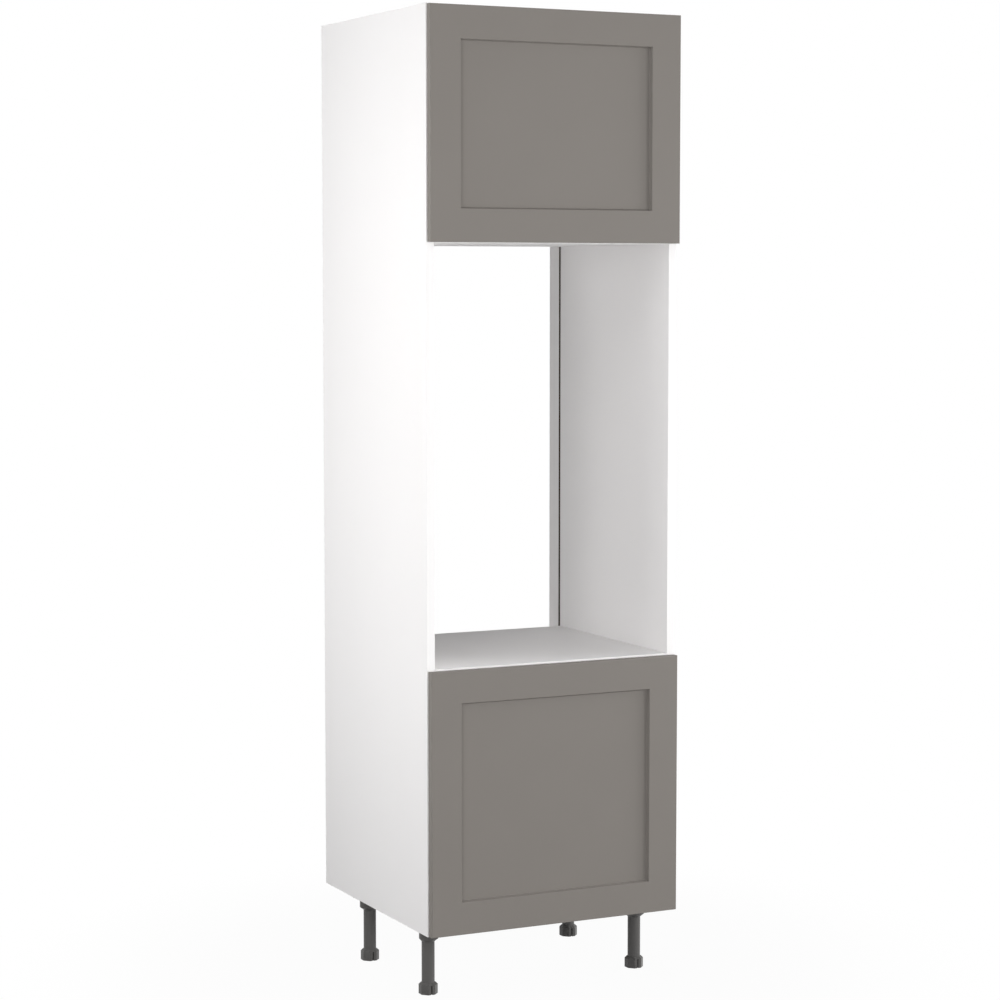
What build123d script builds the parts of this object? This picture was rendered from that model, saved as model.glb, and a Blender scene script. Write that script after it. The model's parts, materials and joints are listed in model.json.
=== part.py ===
"""Tall kitchen cabinet for a built-in oven, with a cupboard above and below the oven niche.

Millimetres, +Z up, +X to the right and -Y towards the front. The origin is on the floor, at the
centre of the cabinet's outline. Both doors are shown closed and hang on the right-hand side.
"""
from build123d import *
import math
import os

os.makedirs("parts", exist_ok=True)

# Carcass of melamine-faced board
cabinet_width = 600.0
carcass_depth = 570.0
carcass_height = 1970.0
board = 18.0
niche_floor_height = 575.0  # top of the oven shelf above the underside of the carcass
niche_height = 900.0
service_void = 48.0  # room for pipes and cables behind the back panels
groove_width = 8.0
groove_depth = 8.0
groove_slack = 0.1  # on each face of a back panel in its groove
groove_end_gap = 0.5
back_edge_setback = 3.0  # a back panel stops this far short of the niche

# Doors with a flat frame around a sunk field
door_thickness = 18.0
door_gap = 1.5  # between the back of a door and the carcass
door_side_reveal = 1.5
upper_door_top_reveal = 2.0
upper_door_bottom_reveal = 1.5
lower_door_top_reveal = 3.5
lower_door_bottom_reveal = 1.5
frame_width = 70.0
field_sink = 9.0
field_slope_run = 3.0
door_edge_radius = 2.0
buffer_radius = 4.0
buffer_inset = 40.0
buffer_clearance = 0.1

# Adjustable shelf in each cupboard
shelf_side_gap = 1.0
shelf_setback = 32.0
shelf_rear_gap = 2.0
peg_radius = 2.5
peg_seat = 9.5
peg_reach = 9.0
peg_tongue_width = 9.0
peg_tongue_thickness = 2.2
peg_hole_depth = 10.0
peg_hole_pitch = 32.0
peg_holes_per_row = 5
peg_row_inset = 69.0

# Knock-down fittings that join each deck to the sides
cam_radius = 7.4
cam_slack = 0.1
cam_height = 12.3
cam_hole_depth = 12.5
cam_distance = 34.0  # from the end of a deck to the middle of the cam
cam_inset = 37.0  # from the front and rear edges of a deck
cam_pocket_radius = 3.7
cam_slot_width = 1.6
cam_slot_depth = 2.0
bolt_thread_radius = 2.5
bolt_thread_length = 11.0
bolt_shank_radius = 3.0
bolt_bore_radius = 4.0
bolt_head_radius = 3.5
bolt_head_length = 3.0
dowel_radius = 4.0
dowel_in_side = 11.0
dowel_in_deck = 22.0
dowel_inset = 101.0
fastener_slack = 0.05  # radial room between a fastener and its hole
hole_extra = 1.0  # a blind hole is this much deeper than what goes in it

# Screws
back_screw_radius = 1.75
back_screw_head = 3.5
back_screw_head_height = 2.4
back_screw_length = 30.0
back_screw_spread = 200.0
socket_screw_radius = 1.9
socket_screw_head = 3.5
socket_screw_head_height = 2.0
socket_screw_length = 14.0
plate_screw_radius = 2.0
plate_screw_head = 3.8
plate_screw_head_height = 2.0
plate_screw_length = 15.0
plate_screw_spacing = 32.0
plate_screw_setback = 37.0
arm_screw_radius = 2.0
arm_screw_head = 3.0
arm_screw_head_height = 1.2
arm_screw_length = 9.0
arm_screw_setbacks = (30.0, 54.0)
cup_screw_radius = 1.75
cup_screw_head = 3.5
cup_screw_head_height = 1.2
cup_screw_length = 12.0
cup_screw_spacing = 45.0
cup_screw_offset = 9.5

# Concealed hinges, two to a door: an arm on the side panel, a cup in the door, a link between
hinge_inset = 90.0  # from the top and bottom edges of a door
arm_pivot_inset = 10.0  # from the inner face of the side panel
arm_pivot_depth = 7.0  # behind the front edge of the carcass
cup_pivot_offset = 12.0  # from the middle of the cup towards the edge of the door
cup_pivot_sink = 5.5  # below the back of the door
hinge_pin_radius = 1.5
hinge_pin_slack = 0.04
link_thickness = 2.2
link_half_width = 5.2
link_eye_radius_cup = 2.5
link_eye_radius_arm = 3.2
link_elbow_radius = 1.6
cup_elbow_offset = 4.0  # from the cup pivot towards the arm
cup_elbow_sink = 8.7  # below the back of the door
arm_elbow_offset = 2.0  # from the arm pivot towards the side panel
arm_elbow_sink = 8.0
cup_radius = 17.4
cup_bore_slack = 0.1
cup_depth = 12.0
cup_bore_extra = 0.2
cup_wall = 0.9
cup_edge_distance = 21.5  # from the edge of the door to the middle of the cup
cup_lip_radius = 18.3
cup_lip_thickness = 0.8
cup_ear_width = 13.0
cup_ear_length = 57.0
cup_ear_corner = 4.0
cup_lug_inner = 5.6
cup_lug_reach = 9.2
cup_lug_pivot_cover = 2.6
arm_sheet = 1.5
arm_half_width = 7.1
arm_web_distance = 21.5  # from the side panel to the outside of the arm
arm_cheek_gap = 4.5  # from the side panel to the edge of the cheeks
arm_front = 12.0
arm_rear = 70.0
arm_eye_radius = 3.6
plate_thickness = 2.5
plate_wing_width = 16.0
plate_wing_length = 52.0
plate_wing_corner = 5.0
plate_base_half_width = 9.0
plate_front = 20.0
plate_rear = 64.0
rail_half_width = 5.4
rail_front = 22.0
rail_rear = 62.0

# Four adjustable plastic legs
leg_height = 150.0
leg_side_inset = 44.6
leg_front_inset = 96.4
leg_rear_inset = 152.6
tube_radius = 14.25
tube_wall = 3.0
tube_nut_length = 26.0
tube_seat = 28.0  # how far the tube goes up into its socket
tube_slack = 0.05
socket_flange = 3.0
socket_hub_radius = 23.0
socket_ear_radius = 10.0
socket_ear_distance = 30.5
socket_lug_radius = 6.5
socket_lug_across = 14.0
socket_lug_along = 24.0
socket_cup_radius = 21.2
socket_cup_shift = 1.5
socket_cup_drop = 28.0
socket_tip_drop = 34.0
socket_tip_wall = 0.5
foot_corner_radius = 21.0
foot_sides = 8
foot_wall_height = 21.0
foot_chamfer_height = 4.5
foot_rim = 0.5
foot_floor = 4.0
foot_bore_slack = 0.1
foot_slot_width = 3.0
foot_slot_depth = 4.0
foot_stem_radius = 8.25
foot_stem_slack = 0.05
foot_stem_spare = 3.5
foot_up_travel = 10.0
foot_down_travel = 20.0
foot_stop_gap = 0.5

# Places worked out from the sizes above
half_width = cabinet_width / 2
inner_x = half_width - board
overall_depth = carcass_depth + door_gap + door_thickness
carcass_front = door_gap + door_thickness - overall_depth / 2
carcass_rear = carcass_front + carcass_depth
deck_rear = carcass_rear - service_void - groove_width
carcass_bottom = leg_height
carcass_top = carcass_bottom + carcass_height
niche_bottom = carcass_bottom + niche_floor_height
niche_top = niche_bottom + niche_height
door_back = carcass_front - door_gap
door_front = door_back - door_thickness
deck_bottoms = {
    "bottom_panel": carcass_bottom,
    "oven_shelf": niche_bottom - board,
    "upper_box_floor": niche_top,
    "top_panel": carcass_top - board,
}
cam_faces = {"bottom_panel": -1, "oven_shelf": -1, "upper_box_floor": 1, "top_panel": -1}
cam_rows = (carcass_front + cam_inset, deck_rear - cam_inset)
dowel_rows = (carcass_front + dowel_inset, deck_rear - dowel_inset)
back_screw_columns = (-back_screw_spread, 0.0, back_screw_spread)
back_front = deck_rear + groove_slack
back_rear = deck_rear + groove_width - groove_slack
cupboards = {
    "lower": (carcass_bottom + board, niche_bottom - board),
    "upper": (niche_top + board, carcass_top - board),
}
door_spans = {
    "lower": (carcass_bottom + lower_door_bottom_reveal, niche_bottom - lower_door_top_reveal),
    "upper": (niche_top + upper_door_bottom_reveal, carcass_top - upper_door_top_reveal),
}
peg_heights = {name: (low + high) / 2 for name, (low, high) in cupboards.items()}
peg_rows = (carcass_front + peg_row_inset, deck_rear - peg_row_inset)
hinge_heights = {
    name: {"bottom": low + hinge_inset, "top": high - hinge_inset}
    for name, (low, high) in door_spans.items()
}
cup_x = half_width - door_side_reveal - cup_edge_distance
cup_pivot = (cup_x + cup_pivot_offset, door_back - cup_pivot_sink)
arm_pivot = (inner_x - arm_pivot_inset, carcass_front + arm_pivot_depth)
link_route = (
    cup_pivot,
    (cup_pivot[0] - cup_elbow_offset, door_back - cup_elbow_sink),
    (arm_pivot[0] + arm_elbow_offset, door_back - arm_elbow_sink),
    arm_pivot,
)
leg_rows = {"front": carcass_front + leg_front_inset, "rear": carcass_rear - leg_rear_inset}
leg_columns = {"left": leg_side_inset - half_width, "right": half_width - leg_side_inset}
ear_side = {"front": 1, "rear": -1}  # the long ear of a socket points right or left


def slab(low, high, mode=Mode.ADD):
    """A block between two opposite corners."""
    size = [b - a for a, b in zip(low, high)]
    middle = tuple((a + b) / 2 for a, b in zip(low, high))
    with Locations(middle):
        Box(*size, mode=mode)


def rod(start, direction, radius, length, mode=Mode.ADD):
    """A round bar from a point along a direction."""
    with Locations(Plane(origin=start, z_dir=direction)):
        Cylinder(radius, length, align=(Align.CENTER, Align.CENTER, Align.MIN), mode=mode)


def bores(points, outward, radius, depth):
    """Blind round holes whose mouths are at the points, in a face that looks outward."""
    with Locations(*[Plane(origin=point, z_dir=outward) for point in points]):
        Hole(radius, depth)


def pan_screw(seat, inward, radius, length, head_radius, head_height):
    """A screw with a flat round head that sits on the seat; its shank runs inward."""
    outward = tuple(-part for part in inward)
    rod(seat, inward, radius, length)
    rod(seat, outward, head_radius, head_height)


def flat_screw(face, inward, radius, length, head_radius, head_height):
    """A countersunk screw whose head is flush with the face."""
    rod(face, inward, radius, length)
    with Locations(Plane(origin=face, z_dir=inward)):
        Cone(head_radius, radius, head_height, align=(Align.CENTER, Align.CENTER, Align.MIN))


def sinks(points, outward, radius, depth, head_radius, head_height):
    """Countersunk holes for flat screws, with the same slack all round."""
    bores(points, outward, radius + fastener_slack, depth)
    inward = tuple(-part for part in outward)
    with Locations(*[Plane(origin=point, z_dir=inward) for point in points]):
        Cone(
            head_radius + fastener_slack,
            radius + fastener_slack,
            head_height + fastener_slack,
            align=(Align.CENTER, Align.CENTER, Align.MIN),
            mode=Mode.SUBTRACT,
        )


def deck_middle(name):
    """Height of the middle of a deck's edge."""
    return deck_bottoms[name] + board / 2


# Side panels
plate_screw_points = [
    (inner_x, carcass_front + plate_screw_setback, height + step * plate_screw_spacing / 2)
    for heights in hinge_heights.values()
    for height in heights.values()
    for step in (-1, 1)
]
for side, name in ((-1, "side_panel_left"), (1, "side_panel_right")):
    inward = (-side, 0, 0)
    with BuildPart() as side_panel:
        slab(
            (min(side * inner_x, side * half_width), carcass_front, carcass_bottom),
            (max(side * inner_x, side * half_width), carcass_rear, carcass_top),
        )
        groove_bottom = side * (inner_x + groove_depth)
        slab(
            (min(side * inner_x, groove_bottom), deck_rear, carcass_bottom),
            (max(side * inner_x, groove_bottom), deck_rear + groove_width, carcass_top),
            Mode.SUBTRACT,
        )
        bores(
            [(side * inner_x, row, deck_middle(deck)) for deck in deck_bottoms for row in cam_rows],
            inward,
            bolt_thread_radius + fastener_slack,
            bolt_thread_length + hole_extra,
        )
        bores(
            [(side * inner_x, row, deck_middle(deck)) for deck in deck_bottoms for row in dowel_rows],
            inward,
            dowel_radius + fastener_slack,
            dowel_in_side + hole_extra,
        )
        peg_steps = [step - peg_holes_per_row // 2 for step in range(peg_holes_per_row)]
        bores(
            [
                (side * inner_x, row, height + step * peg_hole_pitch)
                for height in peg_heights.values()
                for row in peg_rows
                for step in peg_steps
            ],
            inward,
            peg_radius + fastener_slack,
            peg_hole_depth,
        )
        if side > 0:
            bores(
                plate_screw_points,
                inward,
                plate_screw_radius + fastener_slack,
                plate_screw_length - plate_thickness + hole_extra,
            )
    side_panel.part.label = name
    export_step(side_panel.part, f"parts/{name}.step")

# Decks: the four boards fixed between the sides
leg_axes = {
    f"{row}_{column}": (x, y)
    for row, y in leg_rows.items()
    for column, x in leg_columns.items()
}


socket_lugs = [
    (across * socket_lug_across, along * socket_lug_along)
    for across in (-1, 1)
    for along in (-1, 1)
]
socket_screw_points = [
    (x + across, y + along, carcass_bottom)
    for x, y in leg_axes.values()
    for across, along in socket_lugs
]
for name, bottom in deck_bottoms.items():
    face = cam_faces[name]
    cam_plane_z = bottom + board if face > 0 else bottom
    with BuildPart() as deck:
        slab((-inner_x, carcass_front, bottom), (inner_x, deck_rear, bottom + board))
        bores(
            [(end * (inner_x - cam_distance), row, cam_plane_z) for end in (-1, 1) for row in cam_rows],
            (0, 0, face),
            cam_radius + cam_slack,
            cam_hole_depth,
        )
        for end in (-1, 1):
            bores(
                [(end * inner_x, row, deck_middle(name)) for row in cam_rows],
                (end, 0, 0),
                bolt_bore_radius,
                cam_distance,
            )
            bores(
                [(end * inner_x, row, deck_middle(name)) for row in dowel_rows],
                (end, 0, 0),
                dowel_radius + fastener_slack,
                dowel_in_deck + hole_extra,
            )
        bores(
            [(column, deck_rear, deck_middle(name)) for column in back_screw_columns],
            (0, 1, 0),
            back_screw_radius + fastener_slack,
            back_screw_length,
        )
        if name == "bottom_panel":
            bores(
                socket_screw_points,
                (0, 0, -1),
                socket_screw_radius + fastener_slack,
                socket_screw_length,
            )
    deck.part.label = name
    export_step(deck.part, f"parts/{name}.step")

# Back panels, slid into the side grooves behind the decks
back_spans = {
    "lower": (carcass_bottom, niche_bottom - back_edge_setback),
    "upper": (niche_top + back_edge_setback, carcass_top),
}
back_decks = {"lower": ("bottom_panel", "oven_shelf"), "upper": ("upper_box_floor", "top_panel")}
back_half_width = inner_x + groove_depth - groove_end_gap
for level, (low, high) in back_spans.items():
    with BuildPart() as back_panel:
        slab((-back_half_width, back_front, low), (back_half_width, back_rear, high))
        sinks(
            [
                (column, back_rear, deck_middle(deck))
                for deck in back_decks[level]
                for column in back_screw_columns
            ],
            (0, 1, 0),
            back_screw_radius,
            groove_width,
            back_screw_head,
            back_screw_head_height,
        )
    back_panel.part.label = f"{level}_back_panel"
    export_step(back_panel.part, f"parts/{level}_back_panel.step")

with BuildPart() as back_panel_screws:
    for deck in deck_bottoms:
        for column in back_screw_columns:
            flat_screw(
                (column, back_rear, deck_middle(deck)),
                (0, -1, 0),
                back_screw_radius,
                back_screw_length,
                back_screw_head,
                back_screw_head_height,
            )
back_panel_screws.part.label = "back_panel_screws"
export_step(back_panel_screws.part, "parts/back_panel_screws.step")

# Cams, their bolts and the dowels of the deck joints
with BuildPart() as cam_discs:
    for deck, bottom in deck_bottoms.items():
        face = cam_faces[deck]
        mouth = bottom + board if face > 0 else bottom
        for end in (-1, 1):
            for row in cam_rows:
                middle_x = end * (inner_x - cam_distance)
                rod((middle_x, row, mouth), (0, 0, -face), cam_radius, cam_height)
                rod(
                    (middle_x - end * cam_pocket_radius, row, deck_middle(deck)),
                    (end, 0, 0),
                    cam_pocket_radius,
                    2 * cam_radius,
                    Mode.SUBTRACT,
                )
                for along, across in ((cam_radius, cam_slot_width), (cam_slot_width, cam_radius)):
                    with Locations((middle_x, row, mouth)):
                        Box(along, across, 2 * cam_slot_depth, mode=Mode.SUBTRACT)
cam_discs.part.label = "cam_discs"
export_step(cam_discs.part, "parts/cam_discs.step")

with BuildPart() as cam_bolts:
    shank = cam_distance - bolt_head_length
    for deck in deck_bottoms:
        for end in (-1, 1):
            for row in cam_rows:
                shoulder = (end * inner_x, row, deck_middle(deck))
                head = (end * (inner_x - shank), row, deck_middle(deck))
                rod(shoulder, (end, 0, 0), bolt_thread_radius, bolt_thread_length)
                rod(shoulder, (-end, 0, 0), bolt_shank_radius, shank)
                rod(head, (-end, 0, 0), bolt_head_radius, bolt_head_length)
cam_bolts.part.label = "cam_bolts"
export_step(cam_bolts.part, "parts/cam_bolts.step")

with BuildPart() as panel_dowels:
    for deck in deck_bottoms:
        for end in (-1, 1):
            for row in dowel_rows:
                rod(
                    (end * (inner_x + dowel_in_side), row, deck_middle(deck)),
                    (-end, 0, 0),
                    dowel_radius,
                    dowel_in_side + dowel_in_deck,
                )
panel_dowels.part.label = "panel_dowels"
export_step(panel_dowels.part, "parts/panel_dowels.step")

# Adjustable shelves on four pegs each
for level, height in peg_heights.items():
    underside = height + peg_radius
    with BuildPart() as shelf:
        slab(
            (shelf_side_gap - inner_x, carcass_front + shelf_setback, underside),
            (inner_x - shelf_side_gap, deck_rear - shelf_rear_gap, underside + board),
        )
    shelf.part.label = f"{level}_shelf"
    export_step(shelf.part, f"parts/{level}_shelf.step")

    with BuildPart() as shelf_pegs:
        for end in (-1, 1):
            for row in peg_rows:
                rod(
                    (end * (inner_x + peg_seat), row, height),
                    (-end, 0, 0),
                    peg_radius,
                    peg_seat + peg_reach,
                )
                inner_end = end * (inner_x - peg_reach)
                slab(
                    (
                        min(inner_end, end * inner_x),
                        row - peg_tongue_width / 2,
                        underside - peg_tongue_thickness,
                    ),
                    (max(inner_end, end * inner_x), row + peg_tongue_width / 2, underside),
                )
    shelf_pegs.part.label = f"{level}_shelf_pegs"
    export_step(shelf_pegs.part, f"parts/{level}_shelf_pegs.step")

# Doors
door_half_width = half_width - door_side_reveal
field_taper = math.degrees(math.atan(field_slope_run / field_sink))
for level, (low, high) in door_spans.items():
    middle = (low + high) / 2
    height = high - low
    front_plane = Plane(origin=(0, door_front, middle), x_dir=(1, 0, 0), z_dir=(0, -1, 0))
    with BuildPart() as door:
        slab((-door_half_width, door_front, low), (door_half_width, door_back, high))
        outline = door.edges().filter_by(Axis.Y, reverse=True)
        fillet(outline, door_edge_radius)
        with BuildSketch(front_plane):
            Rectangle(2 * (door_half_width - frame_width), height - 2 * frame_width)
        extrude(amount=-field_sink, taper=field_taper, mode=Mode.SUBTRACT)
        hinge_zs = hinge_heights[level].values()
        bores(
            [(cup_x, door_back, z) for z in hinge_zs],
            (0, 1, 0),
            cup_radius + cup_bore_slack,
            cup_depth + cup_bore_extra,
        )
        bores(
            [
                (cup_x - cup_screw_offset, door_back, z + step * cup_screw_spacing / 2)
                for z in hinge_zs
                for step in (-1, 1)
            ],
            (0, 1, 0),
            cup_screw_radius + fastener_slack,
            cup_screw_length,
        )
    door.part.label = f"{level}_door"
    export_step(door.part, f"parts/{level}_door.step")

    with BuildPart() as door_buffers:
        for z in (low + buffer_inset, high - buffer_inset):
            rod(
                (board / 2 - half_width, door_back, z),
                (0, 1, 0),
                buffer_radius,
                door_gap - buffer_clearance,
            )
    door_buffers.part.label = f"{level}_door_buffers"
    export_step(door_buffers.part, f"parts/{level}_door_buffers.step")

    with BuildPart() as cup_screws:
        for z in hinge_zs:
            for step in (-1, 1):
                pan_screw(
                    (
                        cup_x - cup_screw_offset,
                        door_back + cup_lip_thickness,
                        z + step * cup_screw_spacing / 2,
                    ),
                    (0, -1, 0),
                    cup_screw_radius,
                    cup_screw_length,
                    cup_screw_head,
                    cup_screw_head_height,
                )
    cup_screws.part.label = f"{level}_cup_screws"
    export_step(cup_screws.part, f"parts/{level}_cup_screws.step")

# Hinges
arm_outside = inner_x - arm_web_distance
arm_cheek_edge = inner_x - arm_cheek_gap
for level, heights in hinge_heights.items():
    for place, z in heights.items():
        with BuildPart() as hinge_cup:
            with BuildSketch(Plane(origin=(cup_x, door_back, z), x_dir=(1, 0, 0), z_dir=(0, -1, 0))):
                Circle(cup_radius)
            extrude(amount=cup_depth)
            with BuildSketch(Plane(origin=(cup_x, door_back, z), x_dir=(1, 0, 0), z_dir=(0, 1, 0))):
                Circle(cup_lip_radius)
                with Locations((-cup_screw_offset, 0)):
                    RectangleRounded(cup_ear_width, cup_ear_length, cup_ear_corner)
            extrude(amount=cup_lip_thickness)
            lip_face = door_back + cup_lip_thickness
            with BuildSketch(Plane(origin=(cup_x, lip_face, z), x_dir=(1, 0, 0), z_dir=(0, -1, 0))):
                Circle(cup_radius - cup_wall)
                lug_left = cup_pivot_offset - cup_lug_pivot_cover
                for step in (-1, 1):
                    with Locations((lug_left + cup_radius / 2, step * (cup_lug_inner + cup_radius / 2))):
                        Rectangle(cup_radius, cup_radius, mode=Mode.SUBTRACT)
            extrude(amount=cup_depth + cup_lip_thickness - cup_wall, mode=Mode.SUBTRACT)
            rod(
                (*cup_pivot, z - cup_lug_reach),
                (0, 0, 1),
                hinge_pin_radius + hinge_pin_slack,
                2 * cup_lug_reach,
                Mode.SUBTRACT,
            )
            bores(
                [
                    (cup_x - cup_screw_offset, lip_face, z + step * cup_screw_spacing / 2)
                    for step in (-1, 1)
                ],
                (0, 1, 0),
                cup_screw_radius + fastener_slack,
                cup_lip_thickness,
            )
        hinge_cup.part.label = f"{level}_{place}_hinge_cup"
        export_step(hinge_cup.part, f"parts/{level}_{place}_hinge_cup.step")

        with BuildPart() as hinge_link:
            with BuildSketch(Plane.XY.offset(z)) as link_side:
                with BuildLine() as link_path:
                    FilletPolyline(*link_route, radius=link_elbow_radius)
                trace(link_path.line, line_width=link_thickness)
                with Locations(cup_pivot):
                    Circle(link_eye_radius_cup)
                with Locations(arm_pivot):
                    Circle(link_eye_radius_arm)
                with Locations(cup_pivot, arm_pivot):
                    Circle(hinge_pin_radius + hinge_pin_slack, mode=Mode.SUBTRACT)
            extrude(amount=link_half_width, both=True)
        hinge_link.part.label = f"{level}_{place}_hinge_link"
        export_step(hinge_link.part, f"parts/{level}_{place}_hinge_link.step")

        with BuildPart() as hinge_arm:
            with BuildSketch(Plane.XY.offset(z)):
                with BuildLine():
                    Polyline(
                        (arm_pivot[0] - arm_eye_radius, arm_pivot[1]),
                        (arm_outside, carcass_front + arm_front),
                        (arm_outside, carcass_front + arm_rear),
                        (arm_cheek_edge, carcass_front + arm_rear),
                        (arm_cheek_edge, carcass_front + arm_front),
                        (arm_pivot[0] + arm_eye_radius, arm_pivot[1]),
                        close=True,
                    )
                make_face()
                with Locations(arm_pivot):
                    Circle(arm_eye_radius)
            extrude(amount=arm_half_width, both=True)
            with BuildSketch(Plane.XY.offset(z)):
                with Locations((arm_outside + arm_sheet, carcass_front - arm_eye_radius)):
                    Rectangle(
                        2 * arm_web_distance,
                        2 * arm_rear,
                        align=(Align.MIN, Align.MIN),
                    )
            extrude(amount=arm_half_width - arm_sheet, both=True, mode=Mode.SUBTRACT)
            rod(
                (*arm_pivot, z - arm_half_width),
                (0, 0, 1),
                hinge_pin_radius + hinge_pin_slack,
                2 * arm_half_width,
                Mode.SUBTRACT,
            )
            bores(
                [(arm_outside, carcass_front + setback, z) for setback in arm_screw_setbacks],
                (-1, 0, 0),
                arm_screw_radius + fastener_slack,
                arm_sheet,
            )
        hinge_arm.part.label = f"{level}_{place}_hinge_arm"
        export_step(hinge_arm.part, f"parts/{level}_{place}_hinge_arm.step")

        with BuildPart() as hinge_plate:
            wing_plane = Plane(
                origin=(inner_x, carcass_front + plate_screw_setback, z),
                x_dir=(0, 1, 0),
                z_dir=(-1, 0, 0),
            )
            with BuildSketch(wing_plane):
                RectangleRounded(plate_wing_width, plate_wing_length, plate_wing_corner)
            extrude(amount=plate_thickness)
            slab(
                (inner_x - plate_thickness, carcass_front + plate_front, z - plate_base_half_width),
                (inner_x, carcass_front + plate_rear, z + plate_base_half_width),
            )
            slab(
                (arm_outside + arm_sheet, carcass_front + rail_front, z - rail_half_width),
                (inner_x - plate_thickness, carcass_front + rail_rear, z + rail_half_width),
            )
            sinks(
                [
                    (
                        inner_x - plate_thickness,
                        carcass_front + plate_screw_setback,
                        z + step * plate_screw_spacing / 2,
                    )
                    for step in (-1, 1)
                ],
                (-1, 0, 0),
                plate_screw_radius,
                plate_thickness,
                plate_screw_head,
                plate_screw_head_height,
            )
            bores(
                [
                    (arm_outside + arm_sheet, carcass_front + setback, z)
                    for setback in arm_screw_setbacks
                ],
                (-1, 0, 0),
                arm_screw_radius + fastener_slack,
                arm_screw_length,
            )
        hinge_plate.part.label = f"{level}_{place}_hinge_plate"
        export_step(hinge_plate.part, f"parts/{level}_{place}_hinge_plate.step")

    with BuildPart() as hinge_pins:
        for z in heights.values():
            rod((*cup_pivot, z - cup_lug_reach), (0, 0, 1), hinge_pin_radius, 2 * cup_lug_reach)
            rod((*arm_pivot, z - arm_half_width), (0, 0, 1), hinge_pin_radius, 2 * arm_half_width)
    hinge_pins.part.label = f"{level}_hinge_pins"
    export_step(hinge_pins.part, f"parts/{level}_hinge_pins.step")

with BuildPart() as hinge_plate_screws:
    for x, y, z in plate_screw_points:
        flat_screw(
            (x - plate_thickness, y, z),
            (1, 0, 0),
            plate_screw_radius,
            plate_screw_length,
            plate_screw_head,
            plate_screw_head_height,
        )
hinge_plate_screws.part.label = "hinge_plate_screws"
export_step(hinge_plate_screws.part, "parts/hinge_plate_screws.step")

with BuildPart() as hinge_arm_screws:
    for heights in hinge_heights.values():
        for z in heights.values():
            for setback in arm_screw_setbacks:
                pan_screw(
                    (arm_outside, carcass_front + setback, z),
                    (1, 0, 0),
                    arm_screw_radius,
                    arm_screw_length,
                    arm_screw_head,
                    arm_screw_head_height,
                )
hinge_arm_screws.part.label = "hinge_arm_screws"
export_step(hinge_arm_screws.part, "parts/hinge_arm_screws.step")

# Legs: a socket screwed under the bottom panel, a tube and a foot that screws up and down
tube_top = carcass_bottom - socket_tip_drop + tube_seat
tube_bottom = foot_floor + foot_up_travel + foot_stop_gap
stem_length = foot_up_travel + foot_stop_gap + tube_nut_length + foot_down_travel + foot_stem_spare
foot_flat = foot_corner_radius * math.cos(math.pi / foot_sides)
foot_top_flat = tube_radius + foot_bore_slack + foot_rim
foot_taper = math.degrees(math.atan((foot_flat - foot_top_flat) / foot_chamfer_height))
socket_tip_radius = tube_radius + tube_slack + socket_tip_wall
for place, (x, y) in leg_axes.items():
    direction = ear_side[place.split("_")[0]]
    with BuildPart() as leg_socket:
        with BuildSketch(Plane.XY.offset(carcass_bottom)):
            with Locations((x, y)):
                Circle(socket_hub_radius)
            with Locations((x + direction * socket_ear_distance, y)):
                Circle(socket_ear_radius)
            with Locations(*[(x + across, y + along) for across, along in socket_lugs]):
                Circle(socket_lug_radius)
            make_hull()
        extrude(amount=-socket_flange)
        with BuildSketch(Plane.XY.offset(carcass_bottom - socket_flange)):
            with Locations((x + direction * socket_cup_shift, y)):
                Circle(socket_cup_radius)
        extrude(amount=socket_flange - socket_cup_drop)
        with BuildSketch(Plane.XY.offset(carcass_bottom - socket_cup_drop)):
            with Locations((x + direction * socket_cup_shift, y)):
                Circle(socket_cup_radius)
        with BuildSketch(Plane.XY.offset(carcass_bottom - socket_tip_drop)):
            with Locations((x, y)):
                Circle(socket_tip_radius)
        loft()
        rod(
            (x, y, carcass_bottom - socket_tip_drop),
            (0, 0, 1),
            tube_radius + tube_slack,
            tube_seat,
            Mode.SUBTRACT,
        )
        bores(
            [(x + across, y + along, carcass_bottom - socket_flange) for across, along in socket_lugs],
            (0, 0, -1),
            socket_screw_radius + fastener_slack,
            socket_flange,
        )
    leg_socket.part.label = f"{place}_leg_socket"
    export_step(leg_socket.part, f"parts/{place}_leg_socket.step")

    with BuildPart() as leg_tube:
        rod((x, y, tube_bottom), (0, 0, 1), tube_radius, tube_top - tube_bottom)
        rod(
            (x, y, tube_bottom),
            (0, 0, 1),
            foot_stem_radius + foot_stem_slack,
            tube_top - tube_bottom,
            Mode.SUBTRACT,
        )
        rod(
            (x, y, tube_bottom + tube_nut_length),
            (0, 0, 1),
            tube_radius - tube_wall,
            tube_top - tube_bottom,
            Mode.SUBTRACT,
        )
    leg_tube.part.label = f"{place}_leg_tube"
    export_step(leg_tube.part, f"parts/{place}_leg_tube.step")

    with BuildPart() as leg_foot:
        with BuildSketch(Plane.XY):
            with Locations((x, y)):
                RegularPolygon(foot_corner_radius, foot_sides, rotation=180 / foot_sides)
        extrude(amount=foot_wall_height)
        with BuildSketch(Plane.XY.offset(foot_wall_height)):
            with Locations((x, y)):
                RegularPolygon(foot_corner_radius, foot_sides, rotation=180 / foot_sides)
        extrude(amount=foot_chamfer_height, taper=foot_taper)
        rod(
            (x, y, foot_floor),
            (0, 0, 1),
            tube_radius + foot_bore_slack,
            foot_wall_height + foot_chamfer_height,
            Mode.SUBTRACT,
        )
        rod((x, y, foot_floor), (0, 0, 1), foot_stem_radius, stem_length)
        slab(
            (x - foot_slot_width / 2, y - foot_corner_radius, 0),
            (x + foot_slot_width / 2, y - foot_flat + foot_slot_depth, foot_wall_height),
            Mode.SUBTRACT,
        )
    leg_foot.part.label = f"{place}_leg_foot"
    export_step(leg_foot.part, f"parts/{place}_leg_foot.step")

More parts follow.
